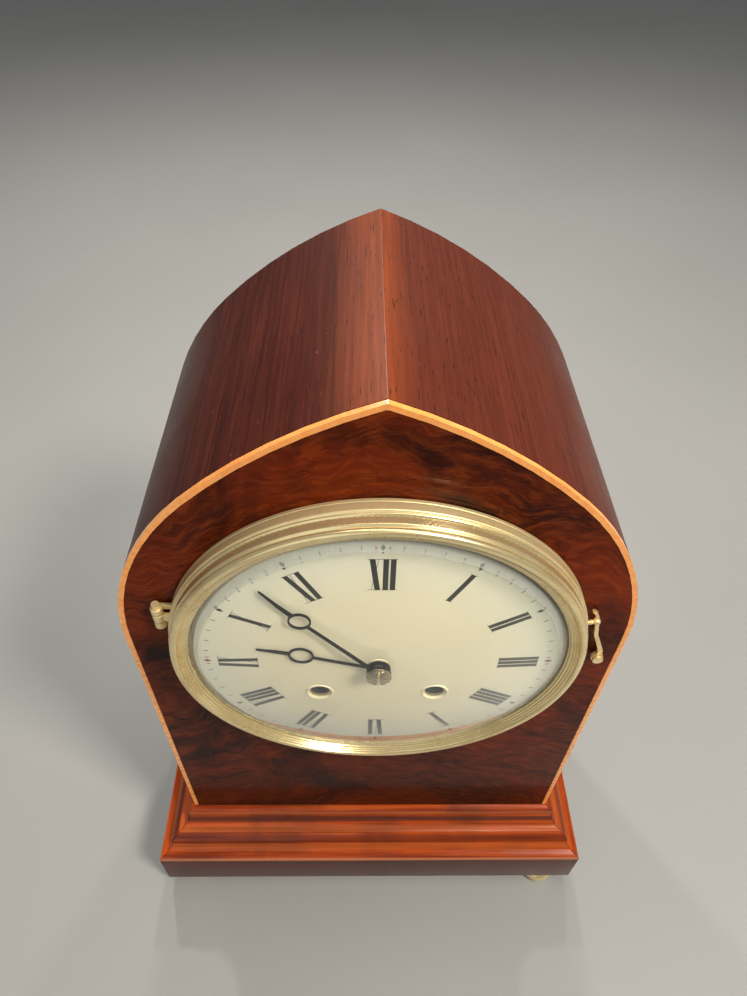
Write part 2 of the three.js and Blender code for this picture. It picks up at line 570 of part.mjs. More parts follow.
function buildPendulum() {
  add(train, 'pallet_anchor', anchor(), STEEL);
  const [, z] = PALLET;
  const foot = cut(block(-8, 8, 43.8, 45.3, z - 4, z + 6), rodY(1.4, 43, 46, PALLET));
  const cock = join(foot, block(-3, 3, 45, 53, z + 2.4, z + 6), block(-2.4, 2.4, 48.4, 51.6, z + 0.5, z + 2.5));
  add(train, 'pendulum_cock', cock, BRASS);
  const strip = block(-2.2, 2.2, PENDULUM_Y - 0.25, PENDULUM_Y + 0.25, z - 7, z);
  const chop = block(-2.4, 2.4, PENDULUM_Y - 1.2, PENDULUM_Y + 1.2, z - 10, z - 6);
  const rod = rodZ(1.0, -99, z - 9, 0, PENDULUM_Y, 10);
  add(train, 'pendulum_rod', join(strip, chop, rod), STEEL);
  const bobZ = -80;
  const lensProfile = [[0, -4.2], [7, -3.6], [12, -1.8], [14, 0], [12, 1.8], [7, 3.6], [0, 4.2]];
  const lens = turned(lensProfile, 24, [0, bobZ]).translate(0, PENDULUM_Y, 0);
  add(train, 'pendulum_bob', cut(lens, rodZ(1.3, -98, -60, 0, PENDULUM_Y, 12)), BRASS);
  const nut = cut(rodZ(3.2, bobZ - 17, bobZ - 14.6, 0, PENDULUM_Y, 12), rodZ(1.3, -98, -60, 0, PENDULUM_Y, 12));
  add(train, 'rating_nut', nut, BRASS);
}

function buildStrikework() {
  const bell = turned(ring([
    [2.5, 76.2], [14, 75.4], [24.6, 70.6], [31, 57], [29.4, 57], [23.2, 69.4], [13.4, 73.8], [2.5, 74.6],
  ]), 28);
  add(train, 'bell', bell, BELL_METAL);
  const foot = [24, -24];
  const arm = prism(ribbon([foot, CENTRE], [4, 4]), 53.4, 55.4);
  const stand = join(
    rodY(2.2, 43.8, 55.4, foot, 12), rodY(4, 43.8, 45.4, foot, 14), arm, rodY(2.1, 53.4, 80, CENTRE, 12),
    rodY(4, 72.2, 74.2, CENTRE, 14), rodY(3.4, 76.6, 79, CENTRE, 14));
  add(train, 'bell_stand', stand, BRASS);
  const [x, z] = HAMMER;
  const head = new THREE.SphereGeometry(3.1, 10, 6).translate(x - 1.2, 61, z - 20);
  const stem = prism(ribbon([[x, z], [x - 1.2, z - 20]], [2.4, 1.6]), 60.2, 61.8);
  const hammer = join(
    rodY(1.2, 44, 62.2, HAMMER, 10), rodY(ARBOR, 4.0, 45, HAMMER, 10),
    rodY(PIVOT, 2.0, 5, HAMMER, 8), rodY(2.2, 59.8, 62.2, HAMMER, 12), stem, head);
  add(train, 'hammer', hammer, STEEL);
}

/** Back ring, glazed back door and the two straps that draw the rings together. */
function buildBack() {
  const hingeX = 60.4;
  const hingeY = 100.7;
  for (const [name, side] of [['strap_left', -1], ['strap_right', 1]]) {
    const [a, b] = [side * 54.4, side * 55.7].sort((p, q) => p - q);
    const [c, d] = [side * 46, side * 55.7].sort((p, q) => p - q);
    add(train, name, join(block(a, b, 4, 89.7, -4.5, 4.5), block(c, d, 88.2, 89.7, -4.5, 4.5)), BRASS);
  }
  const body = turned(ring([
    [50.4, 90], [51.7, 90], [51.7, 97.3], [57.6, 97.3], [57.6, 98.6], [50.4, 98.6],
  ]), 28);
  const fixed = [[5.3, 11], [-11, -5.3]].flatMap(([z0, z1]) => [
    rodZ(1.8, z0, z1, hingeX, hingeY),
    block(55, hingeX, 97.4, 98.5, z0, z1),
    block(58.8, 62, 97.4, 100.7, z0, z1),
  ]);
  const pinHole = rodZ(1.1, -12, 12, hingeX, hingeY);
  add(train, 'back_ring', cut(join(body, ...fixed), pinHole), BRASS);
  const frame = turned(ring([
    [57, 99], [57, 100.4], [54.6, 102.6], [42, 102.6], [42, 101.5], [44, 101.5], [44, 99],
  ]), 28);
  const knobProfile = [[0, 100.5], [2.2, 100.5], [1.5, 102.9], [2.6, 103.3], [2.6, 103.9], [0, 103.9]];
  const knob = turned(knobProfile, 10, [-51, 0]);
  const leaf = block(55, hingeX, 99.4, 101.2, -4.7, 4.7);
  add(train, 'back_door', cut(join(frame, knob, rodZ(1.8, -4.7, 4.7, hingeX, hingeY), leaf), pinHole), BRASS);
  add(train, 'back_glass', rodY(43.6, 99.6, 101.2, CENTRE, 28), GLASS);
  add(train, 'back_hinge_pin', rodZ(0.8, -11.4, 11.4, hingeX, hingeY, 10), BRASS);
}

buildCase();
buildPlinth();
buildFace();
buildPlates();
buildTrains();
buildMotionWork();
buildPendulum();
buildStrikework();
buildBack();

export default clock;
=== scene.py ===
"""A lancet mahogany mantel clock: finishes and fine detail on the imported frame, floor, lamps and camera."""

import json
import math

import bmesh
import bpy
from mathutils import Matrix, Vector

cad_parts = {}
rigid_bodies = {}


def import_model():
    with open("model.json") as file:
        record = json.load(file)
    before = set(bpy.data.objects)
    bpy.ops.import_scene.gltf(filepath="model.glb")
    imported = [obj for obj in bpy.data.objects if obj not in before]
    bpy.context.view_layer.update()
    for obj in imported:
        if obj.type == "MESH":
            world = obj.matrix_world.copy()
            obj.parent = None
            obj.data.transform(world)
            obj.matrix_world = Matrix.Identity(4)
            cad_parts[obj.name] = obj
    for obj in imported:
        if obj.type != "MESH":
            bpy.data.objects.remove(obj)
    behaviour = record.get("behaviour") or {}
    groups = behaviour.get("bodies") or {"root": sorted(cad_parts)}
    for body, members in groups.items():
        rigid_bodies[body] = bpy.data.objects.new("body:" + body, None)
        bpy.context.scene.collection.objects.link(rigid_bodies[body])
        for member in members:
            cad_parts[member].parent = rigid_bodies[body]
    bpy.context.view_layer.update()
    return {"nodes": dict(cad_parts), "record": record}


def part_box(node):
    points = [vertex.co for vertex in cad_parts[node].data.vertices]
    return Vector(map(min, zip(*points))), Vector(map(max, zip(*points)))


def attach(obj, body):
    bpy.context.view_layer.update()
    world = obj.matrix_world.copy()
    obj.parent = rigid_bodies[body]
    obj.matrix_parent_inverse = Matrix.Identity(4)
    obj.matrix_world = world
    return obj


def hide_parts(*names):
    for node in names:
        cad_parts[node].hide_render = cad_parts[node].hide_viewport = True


MM = 0.001

# Camera: where it stands (m), how far it is turned right, down and over (rad), and its lens (mm).
CAMERA_AT = (-0.00663, -0.17508, 0.40473)
CAMERA_YAW = 0.0289
CAMERA_PITCH = 0.80475
CAMERA_ROLL = -0.02679
CAMERA_LENS = 25.957

# Bezel, glass and dial, in mm. Depth is measured back from the front of the case.
BEZEL_REED = 0.42
MILLED_TEETH = 240
MILLED_TWIST = 2.2
MILLED_DEPTH = 0.055
GLASS_EDGE = 62.0
GLASS_CENTRE = -16.2
GLASS_RISE = 9.5
GLASS_THICK = 2.6
GLASS_BEVEL = 57.6
BEVEL_OUTER = (60.95, -8.32)
GLASS_EDGE_FRONT = -7.6
DIAL_RADIUS = 58.6
DIAL_EDGE = -7.0
DIAL_RISE = 2.2
DIAL_THICK = 1.2
WINDING_X = 19.5
WINDING_DROP = 17.8
WINDING_HOLE = 3.9
CENTRE_HOLE = 2.7

# Bands of painted highlight and painted shade across the plinth moulding: height and half width in mm,
# strength, colour.
MOULDING_LIGHT_AND_SHADE = (
    (51.6, 1.6, 0.35, (0.50, 0.17, 0.055)),
    (47.2, 2.2, 0.75, (0.045, 0.008, 0.003)),
    (43.2, 1.2, 0.30, (0.55, 0.16, 0.05)),
    (39.8, 2.2, 0.60, (0.070, 0.012, 0.004)),
    (35.6, 2.2, 0.35, (0.50, 0.12, 0.018)),
    (32.0, 0.9, 0.55, (0.62, 0.26, 0.12)),
)

# Hinge and stud of the bezel, and the back door's knob, in mm from the dial centre. The knuckles are
# heights, and the stud's depth is from the front of the case.
BEZEL_KNUCKLE = (14.05, 17.55)
FIXED_KNUCKLES = (("upper", 18.0, 20.6), ("lower", 10.9, 13.6))
KNUCKLE_BORE = 1.1
KNUCKLE_RADIUS = 1.9
STUD_ANGLE = 13
STUD_START = 66.0
STUD_DEPTH = 4.1
DOOR_KNOB_X = 51

# Painting on the dial, in mm; marks are half lengths and half widths; the spread is in degrees.
NUMERAL_INNER = 38.8
NUMERAL_OUTER = 51.65
STEM = 1.55
STEM_GAP = 0.5
HAIRLINE = 0.13
LETTER_WIDTH = 3.5
SERIF_REACH = 0.45
TICK_RADIUS = 55.15
TICK_HALF = 0.75
TICK_WIDTH = 0.27
HOUR_MARK = (1.35, 0.72)
QUARTER_MARK = (0.85, 0.42)
QUARTER_SPREAD = 2.0
PAINT_PROUD = 0.04
PAINT_SUNK = 0.03
NUMERALS = ("XII", "I", "II", "III", "IIII", "V", "VI", "VII", "VIII", "IX", "X", "XI")

# Smooth shading stops at edges sharper than this, in degrees.
SHARP_ANGLE = 31

# Stage: half the floor's width (m); lamps as name, place (m), size (m), power (W) and colour; the sky.
FLOOR_HALF = 4.0
LAMPS = (
    ("key", (0.60, -0.52, 1.15), (0.24, 0.24), 16.5, (1.0, 0.93, 0.82)),
    ("fill", (-0.6, -1.2, 0.8), (1.2, 1.2), 2.6, (0.97, 0.98, 1.0)),
    ("top", (0.05, 0.1, 1.5), (0.9, 0.5), 4.5, (1.0, 0.96, 0.90)),
    ("streak_left", (-0.35, 0.75, 0.9), (0.05, 0.05), 3.5, (1.0, 0.95, 0.86)),
    ("streak_middle", (0.0, 0.8, 0.95), (0.05, 0.05), 3.5, (1.0, 0.95, 0.86)),
    ("streak_right", (0.25, 0.8, 0.95), (0.05, 0.05), 2.5, (1.0, 0.95, 0.86)),
)
LAMP_TARGET = (0.0, 0.0, 0.17)
SKY_COLOUR = (0.66, 0.68, 0.70, 1.0)
SKY_STRENGTH = 0.26

for leftover in list(bpy.data.objects):
    bpy.data.objects.remove(leftover)
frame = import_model()
NODES = frame["nodes"]

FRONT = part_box("front_veneer")[0].y
DIAL_X = 0.0
DIAL_Z = (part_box("dial")[0].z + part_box("dial")[1].z) / 2
BACK_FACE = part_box("back_board")[1].y


# ---------------------------------------------------------------- node helpers


class Shade:
    """A material being built: its node tree, and a Principled shader wired to the output."""

    def __init__(self, name):
        self.material = bpy.data.materials.new(name)
        self.material.use_nodes = True
        self.tree = self.material.node_tree
        self.tree.nodes.clear()
        self.output = self.tree.nodes.new("ShaderNodeOutputMaterial")
        self.surface = self.tree.nodes.new("ShaderNodeBsdfPrincipled")
        self.tree.links.new(self.surface.outputs[0], self.output.inputs[0])

    def put(self, socket, value):
        if isinstance(value, bpy.types.NodeSocket):
            self.tree.links.new(value, socket)
        else:
            socket.default_value = value

    def add(self, kind, inputs=(), out=0, **settings):
        """A new node with its settings and inputs filled in; returns one of its outputs."""
        node = self.tree.nodes.new(kind)
        for key, value in settings.items():
            setattr(node, key, value)
        for key, value in dict(inputs).items():
            self.put(node.inputs[key], value)
        return node.outputs[out]

    def place(self):
        return self.add("ShaderNodeTexCoord", out="Object")

    def stretch(self, vector, scale, shift=(0, 0, 0)):
        return self.add("ShaderNodeMapping", {"Vector": vector, "Scale": scale, "Location": shift})

    def noise(self, vector, detail, rough=0.55, warp=0.0):
        return self.add("ShaderNodeTexNoise", {
            "Vector": vector, "Scale": 1.0, "Detail": detail, "Roughness": rough, "Distortion": warp})

    def maths(self, what, a, b=0.0):
        return self.add("ShaderNodeMath", {0: a, 1: b}, operation=what)

    def span(self, value, low, high, to_low=0.0, to_high=1.0, smooth=False):
        kind = "SMOOTHSTEP" if smooth else "LINEAR"
        return self.add("ShaderNodeMapRange", {
            "Value": value, "From Min": low, "From Max": high, "To Min": to_low, "To Max": to_high},
            interpolation_type=kind)

    def mix(self, share, a, b):
        node = self.tree.nodes.new("ShaderNodeMix")
        node.data_type = "RGBA"
        self.put(node.inputs[0], share)
        self.put(node.inputs[6], a)
        self.put(node.inputs[7], b)
        return node.outputs[2]

    def split(self, vector):
        node = self.tree.nodes.new("ShaderNodeSeparateXYZ")
        self.tree.links.new(vector, node.inputs[0])
        return node.outputs

    def bump(self, height, distance, strength):
        return self.add("ShaderNodeBump", {"Height": height, "Distance": distance, "Strength": strength})

    def finish(self, **values):
        for key, value in values.items():
            self.put(self.surface.inputs[key.replace("_", " ")], value)
        return self.material


def colour(red, green, blue):
    return (red, green, blue, 1.0)


def dial_radius(shade, place):
    """How far a point is from the axis through the dial."""
    x, _, z = shade.split(place)
    up = shade.maths("SUBTRACT", z, DIAL_Z)
    square = shade.maths("ADD", shade.maths("MULTIPLY", x, x), shade.maths("MULTIPLY", up, up))
    return shade.maths("SQRT", square)


# ---------------------------------------------------------------- materials


def paint_ridge_highlight(shade, place, tone, fibres, ridge_highlight):
    """Paints a highlight along the point of the arch, more on its left, and paints light on the right side.
    """
    x = shade.split(place)[0]
    # Painted highlight along the point of the arch, wider on its left.
    left = shade.span(x, -0.020, -0.001, 0.0, 0.9, smooth=True)
    right = shade.span(x, 0.0, 0.009, 1.0, 0.0, smooth=True)
    highlight_band = shade.maths("MULTIPLY", left, right)
    wander = shade.span(fibres, 0.3, 0.7, 0.55, 1.0)
    tone = shade.mix(shade.maths("MULTIPLY", highlight_band, wander), tone, ridge_highlight)
    # Painted light: the right side of the arch is made lighter and warmer, as if lit from the right.
    return shade.mix(shade.span(x, -0.004, 0.004, 0.0, 0.26), tone, colour(0.20, 0.045, 0.020))


def grained_wood(name, dark, middle, light, along, polish, rough, ridge_highlight=None):
    """Straight-grained wood. along is 0, 1 or 2 for grain that runs along x, y or z."""
    shade = Shade(name)
    place = shade.place()

    def run(across, lengthways):
        scale = [across, across, across]
        scale[along] = lengthways
        return shade.stretch(place, scale)

    bands = shade.noise(run(95, 3.5), detail=3, warp=0.6)
    fibres = shade.noise(run(900, 22), detail=3, rough=0.6)
    threads = shade.noise(run(2600, 60), detail=2)
    pores = shade.noise(run(1900, 150), detail=1, rough=0.4)
    patches = shade.noise(shade.stretch(place, (14, 14, 14)), detail=2)
    tone = shade.mix(shade.span(bands, 0.3, 0.7), dark, middle)
    tone = shade.mix(shade.span(fibres, 0.42, 0.78, 0.0, 0.75), tone, light)
    tone = shade.mix(shade.span(threads, 0.5, 0.75, 0.0, 0.25), tone, light)
    tone = shade.mix(shade.span(patches, 0.4, 0.75, 0.0, 0.45), tone, dark)
    # Painted highlight along the arch's point, and painted light on its right side.
    if ridge_highlight is not None:
        tone = paint_ridge_highlight(shade, place, tone, fibres, ridge_highlight)
    open_pores = shade.span(pores, 0.66, 0.72, 0.0, 0.6)
    tone = shade.mix(open_pores, tone, colour(0.012, 0.004, 0.003))
    dust = shade.noise(shade.stretch(place, (520, 520, 520)), detail=2, rough=0.7)
    specks = shade.span(dust, 0.735, 0.765, 0.0, 0.5)
    tone = shade.mix(specks, tone, colour(0.42, 0.24, 0.17))
    wear = shade.noise(shade.stretch(place, (30, 30, 30)), detail=4)
    gloss = shade.span(wear, 0.3, 0.7, rough - 0.05, rough + 0.1)
    fibre_bump = shade.bump(shade.maths("SUBTRACT", fibres, open_pores), 0.00006, 0.55)
    return shade.finish(
        Base_Color=tone, Roughness=gloss, Normal=fibre_bump, Coat_Weight=polish,
        Coat_Roughness=0.2, IOR=1.5, Specular_IOR_Level=0.09)


def flame_wood(name):
    """Flame-figured veneer: waves of dark and red-brown that sweep across the front, under a deep polish."""
    shade = Shade(name)
    place = shade.place()
    drift = shade.noise(shade.stretch(place, (16, 16, 11)), detail=3, rough=0.5, warp=0.8)
    x, _, z = shade.split(place)
    arch = shade.maths("MULTIPLY", shade.maths("MULTIPLY", x, x), 3.2)
    level = shade.maths("ADD", shade.maths("ADD", z, arch), shade.maths("MULTIPLY", drift, 0.05))
    line = shade.add("ShaderNodeCombineXYZ", {"X": shade.maths("MULTIPLY", x, 5.0), "Y": 0.0, "Z": level})
    waves = shade.noise(shade.stretch(line, (3.0, 1.0, 46.0)), detail=5, rough=0.62, warp=0.35)
    feather = shade.noise(shade.stretch(line, (26.0, 1.0, 420.0)), detail=3, rough=0.6)
    blots = shade.noise(shade.stretch(place, (26, 26, 20), (0.31, 0.0, 0.12)), detail=3, rough=0.55, warp=1.2)
    pores = shade.noise(shade.stretch(place, (230, 900, 1500)), detail=1)
    dark, red = colour(0.026, 0.0050, 0.0022), colour(0.170, 0.020, 0.0030)
    tone = shade.mix(shade.span(waves, 0.36, 0.66), dark, red)
    tone = shade.mix(shade.span(feather, 0.45, 0.75, 0.0, 0.42), tone, colour(0.33, 0.058, 0.008))
    tone = shade.mix(shade.span(blots, 0.55, 0.68, 0.0, 0.82), tone, colour(0.010, 0.0034, 0.0022))
    tone = shade.mix(shade.span(z, 0.125, 0.060, 0.0, 0.55), tone, colour(0.020, 0.007, 0.004))
    tone = shade.mix(shade.span(pores, 0.64, 0.70, 0.0, 0.5), tone, colour(0.008, 0.003, 0.002))
    hair = shade.noise(shade.stretch(place, (2400, 90, 60), (0.2, 0.0, 0.0)), detail=0)
    scratches = shade.span(hair, 0.84, 0.87, 0.0, 0.35)
    tone = shade.mix(scratches, tone, colour(0.30, 0.12, 0.06))
    ripple = shade.noise(shade.stretch(place, (55, 55, 55)), detail=2)
    wear = shade.noise(shade.stretch(place, (40, 40, 40)), detail=4)
    return shade.finish(
        Base_Color=tone, Roughness=shade.span(wear, 0.3, 0.7, 0.16, 0.27),
        Normal=shade.bump(ripple, 0.00012, 0.5), Specular_IOR_Level=0.07, Coat_Weight=0.08,
        Coat_Roughness=0.05, IOR=1.36)


def stringing_wood(name):
    """Pale boxwood line, stained orange by its polish, with short dashes of grain along it."""
    shade = Shade(name)
    place = shade.place()
    dashes = shade.noise(shade.stretch(place, (420, 420, 420)), detail=3)
    drift = shade.noise(shade.stretch(place, (45, 45, 45)), detail=2)
    tone = shade.mix(shade.span(dashes, 0.35, 0.7), colour(1.0, 0.36, 0.075), colour(1.0, 0.44, 0.12))
    tone = shade.mix(shade.span(drift, 0.5, 0.75, 0.0, 0.3), tone, colour(0.75, 0.20, 0.030))
    return shade.finish(
        Base_Color=tone, Roughness=shade.span(dashes, 0.3, 0.7, 0.22, 0.34),
        Normal=shade.bump(dashes, 0.00004, 0.4), Coat_Weight=0.5, Coat_Roughness=0.12)


def moulding_wood(name, along):
    """Red-orange mahogany, with painted highlights on its beads and arrises, and painted shade in its hollows
    and on the plinth's flat face.
    """
    shade = Shade(name)
    place = shade.place()
    scale = [260, 260, 260]
    scale[along] = 7
    fibres = shade.noise(shade.stretch(place, scale), detail=5, rough=0.65, warp=0.4)
    thin = [1500, 1500, 1500]
    thin[along] = 26
    threads = shade.noise(shade.stretch(place, thin), detail=2)
    cloud = shade.noise(shade.stretch(place, (38, 38, 38)), detail=3)
    z = shade.split(place)[2]
    # Mask of the plinth's flat upright face, which is given painted shade below.
    plinth_face_shade = shade.span(z, 0.0302, 0.0314, 1.0, 0.0, smooth=True)
    tone = shade.mix(shade.span(fibres, 0.35, 0.68), colour(0.17, 0.018, 0.003), colour(0.56, 0.085, 0.009))
    tone = shade.mix(shade.span(threads, 0.5, 0.8, 0.0, 0.4), tone, colour(0.55, 0.15, 0.035))
    tone = shade.mix(shade.span(cloud, 0.5, 0.72, 0.0, 0.55), tone, colour(0.07, 0.012, 0.005))
    # Painted highlights on the beads and arris, painted shade in the hollows.
    for middle, half, share, light_or_shade in MOULDING_LIGHT_AND_SHADE:
        away = shade.maths("ABSOLUTE", shade.maths("SUBTRACT", z, middle * MM))
        light_or_shade_band = shade.span(away, 0.4 * half * MM, half * MM, share, 0.0, smooth=True)
        tone = shade.mix(light_or_shade_band, tone, colour(*light_or_shade))
    tone = shade.mix(shade.maths("MULTIPLY", plinth_face_shade, 0.9), tone, colour(0.040, 0.011, 0.0055))
    return shade.finish(
        Base_Color=tone, Roughness=shade.span(cloud, 0.3, 0.7, 0.18, 0.30),
        Normal=shade.bump(fibres, 0.00005, 0.5), Specular_IOR_Level=0.18, Coat_Weight=0.30,
        Coat_Roughness=0.06)


def turned_brass(name, base, tarnish, rough=0.22, lines=0.00001, radial=True):
    """Lacquered brass: lathe lines round the dial axis, a faint cloud of tarnish and small marks."""
    shade = Shade(name)
    place = shade.place()
    cloud = shade.noise(shade.stretch(place, (70, 70, 70)), detail=4, rough=0.6)
    marks = shade.noise(shade.stretch(place, (900, 900, 900)), detail=2, rough=0.7)
    if radial:
        radius = dial_radius(shade, place)
        depth = shade.split(place)[1]
        line = shade.add("ShaderNodeCombineXYZ", {"X": radius, "Y": depth, "Z": 0.0})
        turning = shade.noise(shade.stretch(line, (5200, 5200, 1)), detail=2)
    else:
        turning = shade.noise(shade.stretch(place, (2600, 260, 2600)), detail=2)
    tone = shade.mix(shade.span(cloud, 0.42, 0.72, 0.0, 0.6), base, tarnish)
    tone = shade.mix(shade.span(marks, 0.68, 0.76, 0.0, 0.55), tone, colour(0.16, 0.09, 0.035))
    gloss = shade.span(cloud, 0.3, 0.75, rough - 0.05, rough + 0.12)
    satin = shade.span(shade.split(place)[1], FRONT - 5.2 * MM, FRONT - 4.7 * MM)
    gloss = shade.maths("ADD", gloss, shade.maths("MULTIPLY", satin, 0.2))
    metal = shade.span(satin, 0.0, 1.0, 0.78, 0.70)
    return shade.finish(
        Base_Color=tone, Metallic=metal, Roughness=gloss, Normal=shade.bump(turning, lines, 0.6),
        Coat_Weight=0.2, Coat_Roughness=0.1)


def plain_metal(name, base, shadow, rough):
    """Ground or blued steel: brushed lines and uneven colour."""
    shade = Shade(name)
    place = shade.place()
    brushed = shade.noise(shade.stretch(place, (60, 60, 900)), detail=3)
    cloud = shade.noise(shade.stretch(place, (160, 160, 160)), detail=3)
    tone = shade.mix(shade.span(cloud, 0.35, 0.7), base, shadow)
    return shade.finish(
        Base_Color=tone, Metallic=1.0, Roughness=shade.span(brushed, 0.3, 0.7, rough - 0.06, rough + 0.1),
        Normal=shade.bump(brushed, 0.00001, 0.5))


def dial_enamel(name):
    """Fired enamel: cream in the middle, greyer at the rim, with the faint waves and pits of the firing."""
    shade = Shade(name)
    place = shade.place()
    radius = dial_radius(shade, place)
    cloud = shade.noise(shade.stretch(place, (34, 34, 34)), detail=3)
    pits = shade.noise(shade.stretch(place, (1500, 1500, 1500)), detail=1)
    middle, rim = colour(0.67, 0.595, 0.425), colour(0.62, 0.59, 0.48)
    tone = shade.mix(shade.span(radius, 0.030, 0.058, smooth=True), middle, rim)
    tone = shade.mix(shade.span(cloud, 0.45, 0.75, 0.0, 0.35), tone, colour(0.71, 0.64, 0.46))
    tone = shade.mix(shade.span(pits, 0.74, 0.78, 0.0, 0.35), tone, colour(0.30, 0.25, 0.18))
    return shade.finish(
        Base_Color=tone, Roughness=shade.span(cloud, 0.3, 0.7, 0.12, 0.2),
        Normal=shade.bump(cloud, 0.00015, 0.4), Coat_Weight=0.5, Coat_Roughness=0.04)


def paint(name, base):
    """Vitreous paint on the dial, thin enough for the cream to show through a little."""
    shade = Shade(name)
    place = shade.place()
    thin = shade.noise(shade.stretch(place, (420, 420, 420)), detail=3)
    faded = tuple(0.92 * c + 0.08 * w for c, w in zip(base[:3], (0.25, 0.22, 0.17))) + (1.0,)
    tone = shade.mix(shade.span(thin, 0.45, 0.75, 0.0, 0.8), base, faded)
    return shade.finish(
        Base_Color=tone, Roughness=shade.span(thin, 0.3, 0.7, 0.28, 0.4),
        Normal=shade.bump(thin, 0.00002, 0.4))


def clear_glass(name):
    """Clear glass that lets the lamps through to what is behind it."""
    shade = Shade(name)
    tree = shade.tree
    tree.nodes.remove(shade.surface)
    place = shade.place()
    waves = shade.noise(shade.stretch(place, (30, 30, 30)), detail=1)
    smear = shade.noise(shade.stretch(place, (26, 26, 90)), detail=4)
    glass = shade.add("ShaderNodeBsdfGlass", {
        "Color": (0.985, 0.995, 0.985, 1.0), "IOR": 1.5,
        "Roughness": shade.span(smear, 0.45, 0.8, 0.0, 0.025), "Normal": shade.bump(waves, 0.00005, 0.25)})
    through = shade.add("ShaderNodeBsdfTransparent", {"Color": (0.95, 0.96, 0.95, 1.0)})
    lamp_ray = shade.add("ShaderNodeLightPath", out="Is Shadow Ray")
    both = shade.add("ShaderNodeMixShader", {0: lamp_ray, 1: glass, 2: through})
    tree.links.new(both, shade.output.inputs[0])
    return shade.material


def bevel_sheen_glass(name):
    """The bevel of the glass: clear and not quite smooth, with a faint whitish layer as painted reflection,
    so it shows as a faint silvery ring.
    """
    shade = Shade(name)
    place = shade.place()
    grind = shade.noise(shade.stretch(place, (700, 700, 700)), detail=2)
    clear = shade.add("ShaderNodeBsdfTransparent", {"Color": (0.90, 0.91, 0.90, 1.0)})
    shade.finish(
        Base_Color=colour(0.80, 0.80, 0.77), Roughness=shade.span(grind, 0.3, 0.7, 0.12, 0.3),
        Normal=shade.bump(grind, 0.00001, 0.4))
    # The share of the whitish layer is a painted reflection on the bevel.
    share = shade.span(grind, 0.2, 0.8, 0.10, 0.18)
    both = shade.add("ShaderNodeMixShader", {0: share, 1: clear, 2: shade.surface.outputs[0]})
    shade.tree.links.new(both, shade.output.inputs[0])
    return shade.material


def floor_surface(name):
    """Plain pale laminate with the faintest unevenness."""
    shade = Shade(name)
    place = shade.place()
    grain = shade.noise(shade.stretch(place, (90, 90, 90)), detail=5)
    cloud = shade.noise(shade.stretch(place, (3, 3, 3)), detail=2)
    tone = shade.mix(shade.span(cloud, 0.3, 0.7), colour(0.30, 0.30, 0.295), colour(0.325, 0.325, 0.32))
    return shade.finish(
        Base_Color=tone, Roughness=shade.span(grain, 0.3, 0.7, 0.42, 0.52),
        Normal=shade.bump(grain, 0.0001, 0.15))


def make_materials():
    brass, old_brass = colour(0.96, 0.79, 0.43), colour(0.68, 0.48, 0.20)
    return {
        "mahogany": grained_wood(
            "mahogany", colour(0.036, 0.0060, 0.0040), colour(0.078, 0.0145, 0.0080),
            colour(0.140, 0.0300, 0.0150), along=1, polish=0.03, rough=0.36,
            ridge_highlight=colour(0.27, 0.052, 0.011)),
        "flame_mahogany": flame_wood("flame_mahogany"),
        "boxwood": stringing_wood("boxwood"),
        "moulded_mahogany": moulding_wood("moulded_mahogany", along=0),
        "moulded_mahogany_side": moulding_wood("moulded_mahogany_side", along=1),
        "carcase_wood": grained_wood(
            "carcase_wood", colour(0.15, 0.066, 0.028), colour(0.24, 0.115, 0.052), colour(0.34, 0.18, 0.09),
            along=0, polish=0.0, rough=0.6),
        "back_wood": grained_wood(
            "back_wood", colour(0.075, 0.016, 0.008), colour(0.150, 0.038, 0.017),
            colour(0.240, 0.075, 0.034), along=2, polish=0.2, rough=0.42),
        "polished_brass": turned_brass("polished_brass", brass, old_brass),
        "plain_brass": turned_brass("plain_brass", brass, old_brass, radial=False),
        "movement_brass": turned_brass(
            "movement_brass", colour(0.72, 0.54, 0.26), colour(0.48, 0.33, 0.14), rough=0.3, radial=False),
        "bell_metal": turned_brass(
            "bell_metal", colour(0.70, 0.52, 0.26), colour(0.40, 0.27, 0.12), rough=0.22, lines=0.00003),
        "steel": plain_metal("steel", colour(0.60, 0.60, 0.58), colour(0.42, 0.41, 0.39), 0.28),
        "nut_steel": plain_metal("nut_steel", colour(0.62, 0.55, 0.42), colour(0.34, 0.27, 0.19), 0.24),
        "blued_steel": plain_metal(
            "blued_steel", colour(0.020, 0.020, 0.030), colour(0.010, 0.010, 0.014), 0.3),
        "enamel": dial_enamel("enamel"),
        "black_paint": paint("black_paint", colour(0.005, 0.005, 0.005)),
        "red_paint": paint("red_paint", colour(0.45, 0.10, 0.07)),
        "bevel_sheen_glass": bevel_sheen_glass("bevel_sheen_glass"),
        "glass": clear_glass("glass"),
    }


MATERIALS = make_materials()


# ---------------------------------------------------------------- mesh helpers


